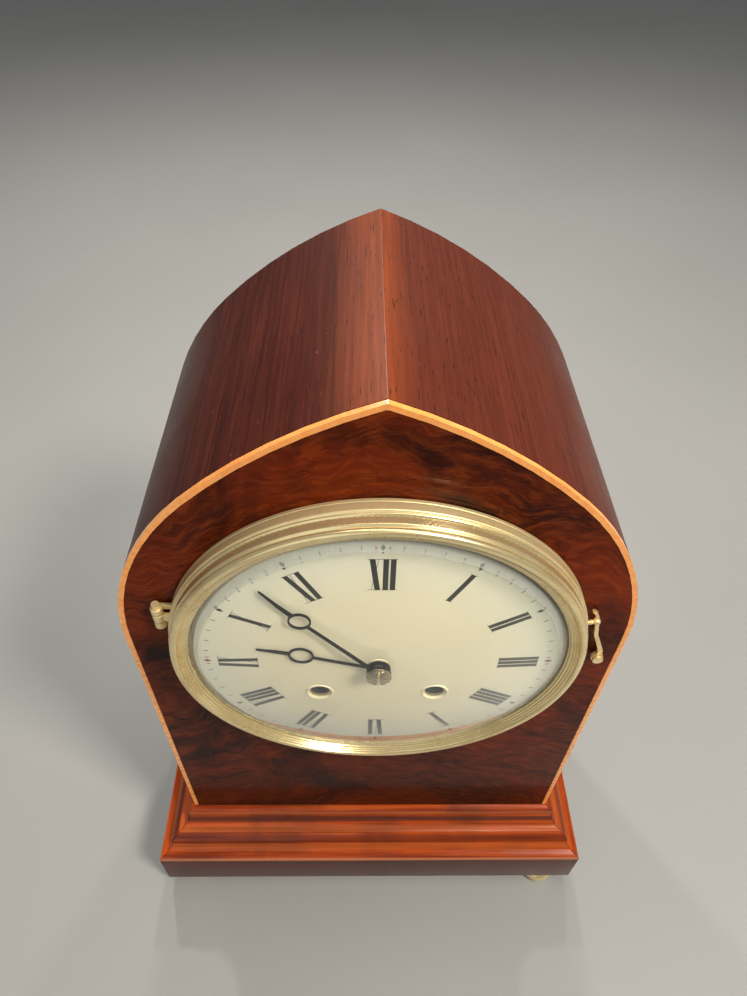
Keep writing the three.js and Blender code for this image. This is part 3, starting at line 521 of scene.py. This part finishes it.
def smooth_edges_tree(angle):
    """A modifier tree that joins a mesh's split corners and shades it smooth, except across sharp edges."""
    tree = bpy.data.node_groups.new("smooth_edges", "GeometryNodeTree")
    tree.interface.new_socket("Geometry", in_out="INPUT", socket_type="NodeSocketGeometry")
    tree.interface.new_socket("Geometry", in_out="OUTPUT", socket_type="NodeSocketGeometry")
    entry, end = tree.nodes.new("NodeGroupInput"), tree.nodes.new("NodeGroupOutput")
    strip = tree.nodes.new("GeometryNodeRemoveAttribute")
    strip.inputs["Name"].default_value = "custom_normal"
    merge = tree.nodes.new("GeometryNodeMergeByDistance")
    merge.inputs["Distance"].default_value = 1e-6
    bend = tree.nodes.new("GeometryNodeInputMeshEdgeAngle")
    soft = tree.nodes.new("FunctionNodeCompare")
    soft.data_type, soft.operation = "FLOAT", "LESS_THAN"
    soft.inputs[1].default_value = math.radians(angle)
    edges = tree.nodes.new("GeometryNodeSetShadeSmooth")
    edges.domain = "EDGE"
    faces = tree.nodes.new("GeometryNodeSetShadeSmooth")
    links = (
        (entry.outputs[0], strip.inputs["Geometry"]),
        (strip.outputs["Geometry"], merge.inputs["Geometry"]),
        (merge.outputs["Geometry"], faces.inputs["Geometry"]),
        (faces.outputs["Geometry"], edges.inputs["Geometry"]),
        (bend.outputs["Unsigned Angle"], soft.inputs[0]),
        (soft.outputs[0], edges.inputs["Shade Smooth"]),
        (edges.outputs["Geometry"], end.inputs[0]),
    )
    for a, b in links:
        tree.links.new(a, b)
    return tree


def make_object(name, mesh, body, slot, material=None, replaces=(), smooth=None):
    """Links a finished mesh as a piece that rides on a body and takes its finish from a slot."""
    piece = bpy.data.objects.new(name, mesh)
    bpy.context.scene.collection.objects.link(piece)
    mesh.materials.append(MATERIALS[material or slot])
    if smooth is not None:
        mesh.polygons.foreach_set("use_smooth", [True] * len(mesh.polygons))
        mesh.set_sharp_from_angle(angle=math.radians(smooth))
    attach(piece, body)
    if replaces:
        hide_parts(*replaces)
    return piece


def lathe_mesh(name, profile, segments, axis=(DIAL_X, DIAL_Z), upright=False, ripple=None):
    """A closed turned solid. profile is (radius, depth) in mm, going round its section once.
    It turns about the line along y through axis = (x, z), or, when upright, along z through (x, y)."""
    mesh = bpy.data.meshes.new(name)
    made = bmesh.new()
    rings = []
    for row, (radius, depth) in enumerate(profile):
        count = 1 if radius < 1e-6 else segments
        ring = []
        for k in range(count):
            turn = 2 * math.pi * k / segments
            reach = (radius + (ripple(row, turn) if ripple else 0.0)) * MM
            a, b = reach * math.cos(turn), reach * math.sin(turn)
            if upright:
                ring.append(made.verts.new((axis[0] + a, axis[1] + b, depth * MM)))
            else:
                ring.append(made.verts.new((axis[0] + a, FRONT + depth * MM, axis[1] + b)))
        rings.append(ring)
    for low, high in zip(rings, rings[1:] + rings[:1]):
        if len(low) == 1 and len(high) == 1:
            continue
        for k in range(segments):
            n = (k + 1) % segments
            corners = [low[k % len(low)], low[n % len(low)], high[n % len(high)], high[k % len(high)]]
            made.faces.new(list(dict.fromkeys(corners)))
    bmesh.ops.recalc_face_normals(made, faces=made.faces)
    made.to_mesh(mesh)
    made.free()
    return mesh


def arc(radius, depth, size, start, end, steps):
    """Points on a bead of the section, centred at (radius, depth), from one angle to another in degrees."""
    points = []
    for k in range(steps + 1):
        turn = math.radians(start + (end - start) * k / steps)
        points.append((radius + size * math.cos(turn), depth + size * math.sin(turn)))
    return points


def cut_with(mesh, cutters):
    """Takes each cutter mesh out of mesh, and returns the new mesh."""
    body = bpy.data.objects.new("cutting", mesh)
    bpy.context.scene.collection.objects.link(body)
    tools = []
    for cutter in cutters:
        tool = bpy.data.objects.new("cutter", cutter)
        bpy.context.scene.collection.objects.link(tool)
        tools.append(tool)
        modifier = body.modifiers.new("cut", "BOOLEAN")
        modifier.object = tool
        modifier.operation = "DIFFERENCE"
        modifier.solver = "EXACT"
    bpy.context.view_layer.update()
    done = bpy.data.meshes.new_from_object(body.evaluated_get(bpy.context.evaluated_depsgraph_get()))
    for item in tools + [body]:
        bpy.data.objects.remove(item)
    return done


def box_mesh(name, low, high):
    made = bmesh.new()
    bmesh.ops.create_cube(made, size=1.0)
    low, high = Vector(low), Vector(high)
    for vertex in made.verts:
        vertex.co = Vector([low[i] + (vertex.co[i] + 0.5) * (high[i] - low[i]) for i in range(3)])
    mesh = bpy.data.meshes.new(name)
    made.to_mesh(mesh)
    made.free()
    return mesh


# ---------------------------------------------------------------- bezel, glass and dial


def bezel_section():
    """Section of the opening bezel: plain wall, reed, milled band, reed, broad bead, groove and steps."""
    wall = [(67.9, -1.9), (67.9, -4.3)] + arc(67.5, -4.4, 0.4, 0, -80, 4)
    reed_one = arc(67.12, -5.42, BEZEL_REED, 60, -70, 6)
    milled = [(66.95, -6.0), (66.92, -6.5), (66.9, -7.0), (66.87, -7.5), (66.82, -8.0)]
    reed_two = arc(66.6, -8.55, BEZEL_REED, 60, -60, 6)
    broad = arc(65.15, -10.05, 1.42, 28, -128, 14)
    groove = [(64.15, -10.75), (63.95, -10.5)]
    steps = [(63.6, -10.72), (63.3, -10.62), (63.15, -10.25), (62.85, -10.35), (62.5, -10.2), (62.35, -9.8),
             (62.0, -9.85), (61.65, -9.65), (61.5, -9.25), (61.1, -9.1)]
    inside = [(61.0, -8.55), (62.3, -8.5), (62.3, -5.8), (66.0, -5.8), (66.0, -1.9)]
    profile = wall + reed_one + milled + reed_two + broad + groove + steps + inside
    first = len(wall) + len(reed_one)
    return profile, range(first, first + len(milled))


def build_bezel():
    profile, milled_rows = bezel_section()

    def milling(row, turn):
        if row not in milled_rows:
            return 0.0
        depth = profile[row][1]
        return MILLED_DEPTH * math.sin(MILLED_TEETH * turn + MILLED_TWIST * 2 * depth)

    ring = lathe_mesh("bezel_ring", profile, 4 * MILLED_TEETH, ripple=milling)
    make_object("bezel_ring", ring, "bezel", "polished_brass", replaces=["bezel_door"], smooth=38)
    build_hinge_knuckle()
    build_stud()


def pin_axis(node):
    """The (x, y) of an upright hinge pin."""
    low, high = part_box(node)
    return (low.x + high.x) / 2, (low.y + high.y) / 2


def build_hinge_knuckle():
    """The bezel's share of the hinge: a barrel and the leaf that holds it."""
    x, y = pin_axis("hinge_pin")
    low, high = (DIAL_Z / MM + height for height in BEZEL_KNUCKLE)
    build_knuckle("bezel_knuckle", "bezel", (x, y), low, high)
    leaf = box_mesh("bezel_leaf", (x + 1.2 * MM, FRONT - 3.4 * MM, low * MM + 0.1 * MM),
                    (-65.0 * MM, FRONT - 2.0 * MM, high * MM - 0.1 * MM))
    leaf_piece = make_object("bezel_leaf", leaf, "bezel", "polished_brass")
    round_off(leaf_piece, 0.25)


def build_knuckle(name, body, axis, low, high):
    """A hinge barrel with eased ends, from low to high in mm above the floor."""
    eased = KNUCKLE_RADIUS - 0.2
    profile = [(KNUCKLE_BORE, low), (eased, low), (KNUCKLE_RADIUS, low + 0.25),
               (KNUCKLE_RADIUS, high - 0.25), (eased, high), (KNUCKLE_BORE, high)]
    barrel = lathe_mesh(name, profile, 40, axis=axis, upright=True)
    make_object(name, barrel, body, "polished_brass", smooth=35)


def build_seat():
    """The fixed ring that the bezel closes on, with its two knuckles of the hinge."""
    profile = [(56.4, 8.9), (57.6, 8.9), (57.6, -0.3), (67.7, -0.3), (67.9, -0.5), (67.9, -1.45),
               (67.75, -1.6), (58.3, -1.6), (58.3, -5.4), (58.2, -5.5), (56.5, -5.5), (56.4, -5.4)]
    ring = lathe_mesh("bezel_mount", profile, 200)
    make_object("bezel_mount", ring, "case", "polished_brass", replaces=["bezel_seat"], smooth=35)
    x, y = pin_axis("hinge_pin")
    middle = DIAL_Z / MM
    for word, low, high in FIXED_KNUCKLES:
        build_knuckle(f"fixed_knuckle_{word}", "case", (x, y), middle + low, middle + high)
        leaf = box_mesh("leaf", (x + 0.3 * MM, FRONT - 1.55 * MM, (middle + low + 0.1) * MM),
                        (-61.5 * MM, FRONT - 0.55 * MM, (middle + high - 0.1) * MM))
        round_off(make_object(f"fixed_leaf_{word}", leaf, "case", "polished_brass"), 0.15)


def build_stud():
    """The little ball-ended stud that the hook catch closes over."""
    profile = [(0.0, 0.0), (0.75, 0.0), (0.75, 2.6), (0.95, 2.8), (0.75, 3.0), (0.7, 3.4)]
    profile += arc(0.0, 4.6, 1.25, -62, 90, 9)
    profile[-1] = (0.0, 5.85)
    stud = lathe_mesh("bezel_stud", profile, 32, axis=(0.0, 0.0), upright=True)
    turn = math.radians(STUD_ANGLE)
    out = Vector((math.cos(turn), 0, math.sin(turn)))
    start = Vector((DIAL_X, FRONT - STUD_DEPTH * MM, DIAL_Z)) + out * STUD_START * MM
    stud.transform(Matrix.Translation(start) @ out.to_track_quat("Z", "Y").to_matrix().to_4x4())
    make_object("bezel_stud", stud, "bezel", "polished_brass", smooth=40)


def glass_back(radius):
    sphere = (GLASS_EDGE ** 2 + GLASS_RISE ** 2) / (2 * GLASS_RISE)
    return GLASS_CENTRE + sphere - math.sqrt(sphere ** 2 - radius ** 2)


def build_glass():
    steps = 22
    back = [(GLASS_EDGE * k / steps, glass_back(GLASS_EDGE * k / steps)) for k in range(steps + 1)]
    front = [(GLASS_BEVEL * k / steps, glass_back(GLASS_BEVEL * k / steps) - GLASS_THICK)
             for k in range(steps, -1, -1)]
    pane = lathe_mesh("dial_glass", back + [(GLASS_EDGE, GLASS_EDGE_FRONT)] + front, 144)
    make_object("dial_glass", pane, "bezel", "glass", replaces=["bezel_glass"], smooth=7)
    inner, outer = (GLASS_BEVEL, glass_back(GLASS_BEVEL) - GLASS_THICK), BEVEL_OUTER
    facet = [(inner[0], inner[1] - 0.02), (outer[0], outer[1] - 0.02), (outer[0], outer[1] - 0.06),
             (inner[0], inner[1] - 0.06)]
    make_object("glass_bevel", lathe_mesh("glass_bevel", facet, 144), "bezel", "glass",
                material="bevel_sheen_glass", smooth=30)
    lip = [(60.45, -5.95), (61.9, -5.95), (61.9, -6.3), (61.6, -6.42), (60.7, -6.42), (60.45, -6.25)]
    make_object("glass_keeper", lathe_mesh("glass_keeper", lip, 144), "bezel", "polished_brass",
                replaces=["glass_retainer"], smooth=35)


def dial_depth(radius):
    """Depth of the dial's face, in mm, at a radius from its centre."""
    return DIAL_EDGE - DIAL_RISE * (1 - (radius / DIAL_RADIUS) ** 2)


def winding_centre(side):
    return (DIAL_X + side * WINDING_X * MM, DIAL_Z - WINDING_DROP * MM)


def build_dial():
    radii = [0, 8, 16, 24, 32, 40, 48, 54, 57.6, 58.4]
    front = [(r, dial_depth(r)) for r in radii] + [(DIAL_RADIUS, DIAL_EDGE + 0.25)]
    back = [(DIAL_RADIUS, DIAL_EDGE + DIAL_THICK)]
    back += [(r, dial_depth(r) + DIAL_THICK) for r in reversed(radii)]
    plate = lathe_mesh("dial_plate", front + back, 160)
    column = [(0, -12), (WINDING_HOLE, -12), (WINDING_HOLE, 0), (0, 0)]
    middle = [(0, -12), (CENTRE_HOLE, -12), (CENTRE_HOLE, 0), (0, 0)]
    cutters = [lathe_mesh("cut", column, 48, axis=winding_centre(side)) for side in (-1, 1)]
    cutters.append(lathe_mesh("cut", middle, 40))
    plate = cut_with(plate, cutters)
    plate.materials.clear()
    make_object("dial_plate", plate, "case", "enamel", replaces=["dial"], smooth=30)
    for side, word in ((-1, "left"), (1, "right")):
        build_lip(side, word)
    centre = dial_depth(0)
    collar = [(2.55, centre + 0.4), (3.4, centre + 0.3), (3.4, centre - 0.1), (3.1, centre - 0.28),
              (2.75, centre - 0.22), (2.55, centre - 0.05)]
    make_object("dial_centre_lip", lathe_mesh("dial_centre_lip", collar, 64), "case", "enamel", smooth=50)


def build_lip(side, word):
    """The rounded enamel rim round a winding hole, with a brass sleeve, and a near-black tube inside it as
    painted shade.
    """
    at = winding_centre(side)
    face = dial_depth(math.hypot(WINDING_X, WINDING_DROP))
    rim = [(3.9, face + 0.7)] + arc(4.3, face - 0.02, 0.42, 180, 360, 9) + [(4.72, face + 0.7)]
    make_object(f"winding_lip_{word}", lathe_mesh("lip", rim, 56, axis=at), "case", "enamel", smooth=60)
    sleeve = [(3.35, face + 1.1), (3.85, face + 1.1), (3.85, face + 0.35), (3.6, face + 0.25),
              (3.35, face + 0.4)]
    make_object(f"winding_sleeve_{word}", lathe_mesh("sleeve", sleeve, 56, axis=at), "case",
                "polished_brass", smooth=40)
    # Painted shade: a near-black tube that stands for the shadow inside the winding hole.
    shade_tube = [(3.3, face + 1.2), (3.8, face + 1.2), (3.8, face + 4.6), (2.7, face + 4.6),
            (2.7, face + 4.2), (3.3, face + 4.2)]
    make_object(f"winding_shade_tube_{word}", lathe_mesh("shade_tube", shade_tube, 56, axis=at), "case", "steel",
                material="blued_steel", smooth=40)


# ---------------------------------------------------------------- painting on the dial


class DialPaint:
    """Collects painted shapes that follow the curve of the dial as thin closed slabs."""

    def __init__(self):
        self.made = bmesh.new()

    def point(self, x, z, lift):
        depth = dial_depth(math.hypot(x, z)) - lift
        return self.made.verts.new((DIAL_X + x * MM, FRONT + depth * MM, DIAL_Z + z * MM))

    def slab(self, corners, rows=8, columns=1):
        """corners are the four (x, z) corners, in order, of a patch in mm from the dial centre."""
        a, b, c, d = [Vector(corner) for corner in corners]
        layers = []
        for lift in (PAINT_PROUD, -PAINT_SUNK):
            grid = []
            for i in range(rows + 1):
                left, right = a.lerp(d, i / rows), b.lerp(c, i / rows)
                grid.append([self.point(*left.lerp(right, j / columns), lift) for j in range(columns + 1)])
            layers.append(grid)
        top, under = layers
        for i in range(rows):
            for j in range(columns):
                self.made.faces.new((top[i][j], top[i][j + 1], top[i + 1][j + 1], top[i + 1][j]))
                self.made.faces.new((under[i][j], under[i + 1][j], under[i + 1][j + 1], under[i][j + 1]))
        edge = [(0, j) for j in range(columns)] + [(i, columns) for i in range(rows)]
        edge += [(rows, j) for j in range(columns, 0, -1)] + [(i, 0) for i in range(rows, 0, -1)]
        for (i, j), (k, l) in zip(edge, edge[1:] + edge[:1]):
            self.made.faces.new((top[i][j], under[i][j], under[k][l], top[k][l]))

    def mesh(self, name):
        bmesh.ops.recalc_face_normals(self.made, faces=self.made.faces)
        mesh = bpy.data.meshes.new(name)
        self.made.to_mesh(mesh)
        self.made.free()
        return mesh


def on_dial(angle, across, out):
    """A point across and out from the dial centre, for a figure at angle, clockwise from twelve."""
    s, c = math.sin(angle), math.cos(angle)
    return (across * c + out * s, -across * s + out * c)


def stroke(work, angle, foot, head, width, low=NUMERAL_INNER, high=NUMERAL_OUTER):
    """A stroke from foot at the inner end to head at the outer end, both measured across the numeral."""
    half = width / 2
    ends = ((foot - half, low), (foot + half, low), (head + half, high), (head - half, high))
    work.slab([on_dial(angle, across, out) for across, out in ends])


def letter_width(letter):
    return STEM if letter == "I" else LETTER_WIDTH


def numeral(work, text, angle):
    """One upright Roman numeral with its top outwards: heavy stems, hairlines and joined serifs."""
    width = sum(letter_width(letter) for letter in text) + STEM_GAP * (len(text) - 1)
    at = -width / 2
    lean = (LETTER_WIDTH - STEM) / 2
    for letter in text:
        middle = at + letter_width(letter) / 2
        if letter == "I":
            stroke(work, angle, middle, middle, STEM)
        elif letter == "X":
            stroke(work, angle, middle + lean * 0.8, middle - lean * 0.8, STEM * 1.02)
            stroke(work, angle, middle - lean, middle + lean, HAIRLINE)
        else:
            stroke(work, angle, middle + lean * 0.1, middle - lean * 0.8, STEM * 1.02)
            stroke(work, angle, middle + lean * 0.35, middle + lean * 1.15, HAIRLINE)
        at += letter_width(letter) + STEM_GAP
    reach = width / 2 + SERIF_REACH
    for out in (NUMERAL_INNER, NUMERAL_OUTER):
        corners = ((-reach, out - HAIRLINE / 2), (reach, out - HAIRLINE / 2),
                   (reach, out + HAIRLINE / 2), (-reach, out + HAIRLINE / 2))
        work.slab([on_dial(angle, across, o) for across, o in corners], rows=1, columns=8)


def lozenge(work, angle, radius, length, width):
    corners = ((0, radius - length), (width, radius), (0, radius + length), (-width, radius))
    work.slab([on_dial(angle, across, out) for across, out in corners], rows=2, columns=2)


def build_painting():
    black, red = DialPaint(), DialPaint()
    for hour, text in enumerate(NUMERALS):
        numeral(black, text, math.radians(30 * hour))
    for minute in range(60):
        angle = math.radians(6 * minute)
        if minute % 5:
            stroke(black, angle, 0.0, 0.0, TICK_WIDTH, TICK_RADIUS - TICK_HALF, TICK_RADIUS + TICK_HALF)
        else:
            lozenge(black, angle, TICK_RADIUS, *HOUR_MARK)
        if minute % 15 == 0:
            for side in (-1, 1):
                beside = angle + side * math.radians(QUARTER_SPREAD)
                lozenge(red, beside, TICK_RADIUS - 0.1, *QUARTER_MARK)
    make_object("dial_numerals", black.mesh("dial_numerals"), "case", "enamel", material="black_paint")
    make_object("dial_quarter_marks", red.mesh("dial_quarter_marks"), "case", "enamel", material="red_paint")


# ---------------------------------------------------------------- hardware


def round_off(piece, width):
    """Rounds a piece's sharp edges by width in mm."""
    bevel = piece.modifiers.new("rounded", "BEVEL")
    bevel.width = width * MM
    bevel.segments = 2
    bevel.limit_method = "ANGLE"
    bevel.angle_limit = math.radians(35)


def build_hand_nut():
    """The round nut that holds the hands, cut across by an upright slot."""
    profile = [(0, -12.95), (4.0, -12.95), (4.1, -13.1), (4.1, -13.35), (3.85, -13.5), (4.0, -13.65),
               (3.95, -14.0), (3.5, -14.35), (2.4, -14.48), (0, -14.5)]
    nut = lathe_mesh("hands_nut", profile, 72)
    slot = box_mesh("slot", (-0.6 * MM, FRONT - 15 * MM, DIAL_Z - 6 * MM),
                    (0.6 * MM, FRONT - 13.6 * MM, DIAL_Z + 6 * MM))
    nut = cut_with(nut, [slot])
    nut.materials.clear()
    blade = box_mesh("blade", (-0.3 * MM, FRONT - 14.45 * MM, DIAL_Z - 3.6 * MM),
                     (0.3 * MM, FRONT - 13.5 * MM, DIAL_Z + 3.6 * MM))
    round_off(make_object("hands_pin", blade, "centre_arbor", "polished_brass"), 0.12)
    make_object("hands_nut", nut, "centre_arbor", "polished_brass", material="nut_steel",
                replaces=["hand_nut"], smooth=40)


def build_feet():
    """Turned bun feet."""
    for node in ("foot_front_left", "foot_front_right", "foot_back_left", "foot_back_right"):
        low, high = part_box(node)
        centre = ((low.x + high.x) / 2, (low.y + high.y) / 2)
        top = high.z / MM
        profile = [(0, 0), (5.7, 0), (6.0, 0.02)] + arc(4.4, top * 0.47, 3.6, -60, 58, 12)
        profile += [(6.0, top - 0.25), (6.0, top), (0, top)]
        mesh = lathe_mesh(f"bun_{node[5:]}", profile, 64, axis=centre, upright=True)
        make_object(f"bun_{node[5:]}", mesh, "case", "polished_brass", replaces=[node], smooth=40)


def build_screw(name, at, radius, slot_turn):
    """A slotted round-head screw in the back, with its head at the point at."""
    profile = [(0, 0.3), (radius, 0.3), (radius, -0.2), (radius * 0.86, -0.55), (radius * 0.5, -0.82),
               (0, -0.9)]
    head = lathe_mesh(name, profile, 40, axis=(0.0, 0.0))
    head.transform(Matrix.Translation((0, -FRONT, 0)))
    slot = box_mesh("slot", (-radius * 1.2 * MM, -1.5 * MM, -0.22 * MM),
                    (radius * 1.2 * MM, -0.45 * MM, 0.22 * MM))
    head = cut_with(head, [slot])
    head.materials.clear()
    spin = Matrix.Rotation(slot_turn, 4, "Y")
    about_face = Matrix.Rotation(math.pi, 4, "Z")
    head.transform(Matrix.Translation(at) @ about_face @ spin)
    make_object(name, head, "case", "polished_brass", smooth=35)


def build_back_screws():
    """Six screws hold the back ring to the back board."""
    low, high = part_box("back_ring")
    radius = (high.z - low.z) / 2 - 2.6 * MM
    centre = (DIAL_X, (low.z + high.z) / 2)
    for k in range(6):
        turn = math.radians(60 * k + 90)
        x, z = centre[0] + radius * math.cos(turn), centre[1] + radius * math.sin(turn)
        build_screw(f"back_screw_{k + 1}", (x, BACK_FACE + 0.1 * MM, z), 1.5, 0.7 * k)


def build_back_door():
    """The fixed ring at the back, and the round brass door on it with its glass, knob and hinge."""
    mount = [(50.4, 90.0), (51.7, 90.0), (51.7, 97.3), (57.45, 97.3), (57.6, 97.45), (57.6, 98.45),
             (57.45, 98.6), (50.5, 98.6), (50.4, 98.5)]
    make_object("back_mount", lathe_mesh("back_mount", mount, 160), "case", "polished_brass",
                material="plain_brass", replaces=["back_ring"], smooth=35)
    door = [(57.0, 99.0), (57.0, 100.2), (56.85, 100.55), (54.9, 102.35), (54.45, 102.6), (42.3, 102.6),
            (42.0, 102.3), (42.0, 101.5), (44.0, 101.5), (44.0, 99.0)]
    make_object("door_frame", lathe_mesh("door_frame", door, 160), "rear_door", "polished_brass",
                material="plain_brass", replaces=["back_door"], smooth=35)
    pane = [(0.0, 99.6), (43.6, 99.6), (43.6, 101.2), (0.0, 101.2)]
    make_object("door_glass", lathe_mesh("door_glass", pane, 96), "rear_door", "glass",
                replaces=["back_glass"], smooth=30)
    knob = [(0.0, 102.4), (2.2, 102.4), (2.2, 102.65), (1.5, 102.8), (1.5, 102.95), (2.4, 103.1),
            (2.6, 103.35), (2.6, 103.6), (2.3, 103.85), (0.0, 103.9)]
    knob_mesh = lathe_mesh("door_knob", knob, 40, axis=(DIAL_X - DOOR_KNOB_X * MM, DIAL_Z))
    make_object("door_knob", knob_mesh, "rear_door", "polished_brass", material="plain_brass", smooth=35)
    x, y = pin_axis("back_hinge_pin")
    middle = DIAL_Z / MM
    for name, body, low, high, highlight_band, far in (
        ("back_knuckle_upper", "case", 5.3, 11.0, 97.4, 98.5),
        ("back_knuckle_lower", "case", -11.0, -5.3, 97.4, 98.5),
        ("door_knuckle", "rear_door", -4.7, 4.7, 99.6, 101.0),
    ):
        build_knuckle(name, body, (x, y), middle + low, middle + high)
        leaf = box_mesh(name + "_leaf", (55.5 * MM, FRONT + highlight_band * MM, (middle + low + 0.1) * MM),
                        (x - 1.2 * MM, FRONT + far * MM, (middle + high - 0.1) * MM))
        round_off(make_object(name + "_leaf", leaf, body, "polished_brass", material="plain_brass"), 0.2)


# ---------------------------------------------------------------- CAD nodes


def dress_nodes():
    """Gives every CAD node its material and smooth shading, and softens the arrises of the woodwork."""
    tree = smooth_edges_tree(SHARP_ANGLE)
    slots = {part["node"]: part["material_slot"] for part in frame["record"]["subparts"]}
    special = {
        "moulding_left": "moulded_mahogany_side",
        "moulding_right": "moulded_mahogany_side",
        "back_board": "back_wood",
    }
    softened = {"moulding_front": 0.22, "moulding_left": 0.22, "moulding_right": 0.22, "back_board": 0.4}
    for name, node in NODES.items():
        node.data.materials.clear()
        node.data.materials.append(MATERIALS[special.get(name, slots[name])])
        node.modifiers.new("smooth_edges", "NODES").node_group = tree
        if name in softened:
            round_off(node, softened[name])


def build_ridge():
    """The glued joints at the point of the arch: between the two shells, and between the stringings."""
    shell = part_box("shell_left")
    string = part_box("stringing_left")
    for name, low, high, slot in (
        ("ridge_joint", shell[0].y, shell[1].y, "mahogany"),
        ("stringing_joint", string[0].y, string[1].y, "boxwood"),
    ):
        top = (shell if slot == "mahogany" else string)[1].z
        drop = 6.5 if slot == "mahogany" else 2.0
        strip = box_mesh(name, (-0.19 * MM, low, top - drop * MM), (0.19 * MM, high, top - 0.03 * MM))
        make_object(name, strip, "case", slot)


# ---------------------------------------------------------------- stage


def build_floor():
    mesh = bpy.data.meshes.new("floor")
    half = FLOOR_HALF
    corners = [(-half, -half, 0), (half, -half, 0), (half, half, 0), (-half, half, 0)]
    mesh.from_pydata(corners, [], [(0, 1, 2, 3)])
    floor = bpy.data.objects.new("floor", mesh)
    bpy.context.scene.collection.objects.link(floor)
    mesh.materials.append(floor_surface("floor_surface"))


def lamp(name, at, size, power, tint):
    """A rectangular area lamp that looks at the clock."""
    data = bpy.data.lights.new(name, "AREA")
    data.shape = "RECTANGLE"
    data.size, data.size_y = size
    data.energy = power
    data.color = tint
    light = bpy.data.objects.new(name, data)
    light.location = at
    light.rotation_euler = (Vector(LAMP_TARGET) - Vector(at)).to_track_quat("-Z", "Y").to_euler()
    bpy.context.scene.collection.objects.link(light)


def build_lights():
    for row in LAMPS:
        lamp(*row)
    world = bpy.data.worlds.new("studio")
    world.use_nodes = True
    sky = world.node_tree.nodes["Background"]
    sky.inputs["Color"].default_value = SKY_COLOUR
    sky.inputs["Strength"].default_value = SKY_STRENGTH
    bpy.context.scene.world = world


def build_camera():
    yaw, pitch, roll = CAMERA_YAW, CAMERA_PITCH, CAMERA_ROLL
    ahead = Vector((math.sin(yaw) * math.cos(pitch), math.cos(yaw) * math.cos(pitch), -math.sin(pitch)))
    right = Vector((math.cos(yaw), -math.sin(yaw), 0.0))
    down = ahead.cross(right)
    right_rolled = math.cos(roll) * right + math.sin(roll) * down
    down_rolled = math.cos(roll) * down - math.sin(roll) * right
    data = bpy.data.cameras.new("camera")
    data.lens = CAMERA_LENS
    data.sensor_width = 36.0
    data.clip_start = 0.01
    camera = bpy.data.objects.new("camera", data)
    turn = Matrix((right_rolled, -down_rolled, -ahead)).transposed()
    camera.matrix_world = Matrix.Translation(CAMERA_AT) @ turn.to_4x4()
    bpy.context.scene.collection.objects.link(camera)
    bpy.context.scene.camera = camera


build_camera()
dress_nodes()
build_ridge()
build_seat()
build_bezel()
build_glass()
build_dial()
build_painting()
build_hand_nut()
build_feet()
build_back_screws()
build_back_door()
build_floor()
build_lights()
bpy.context.scene.view_settings.view_transform = "Standard"
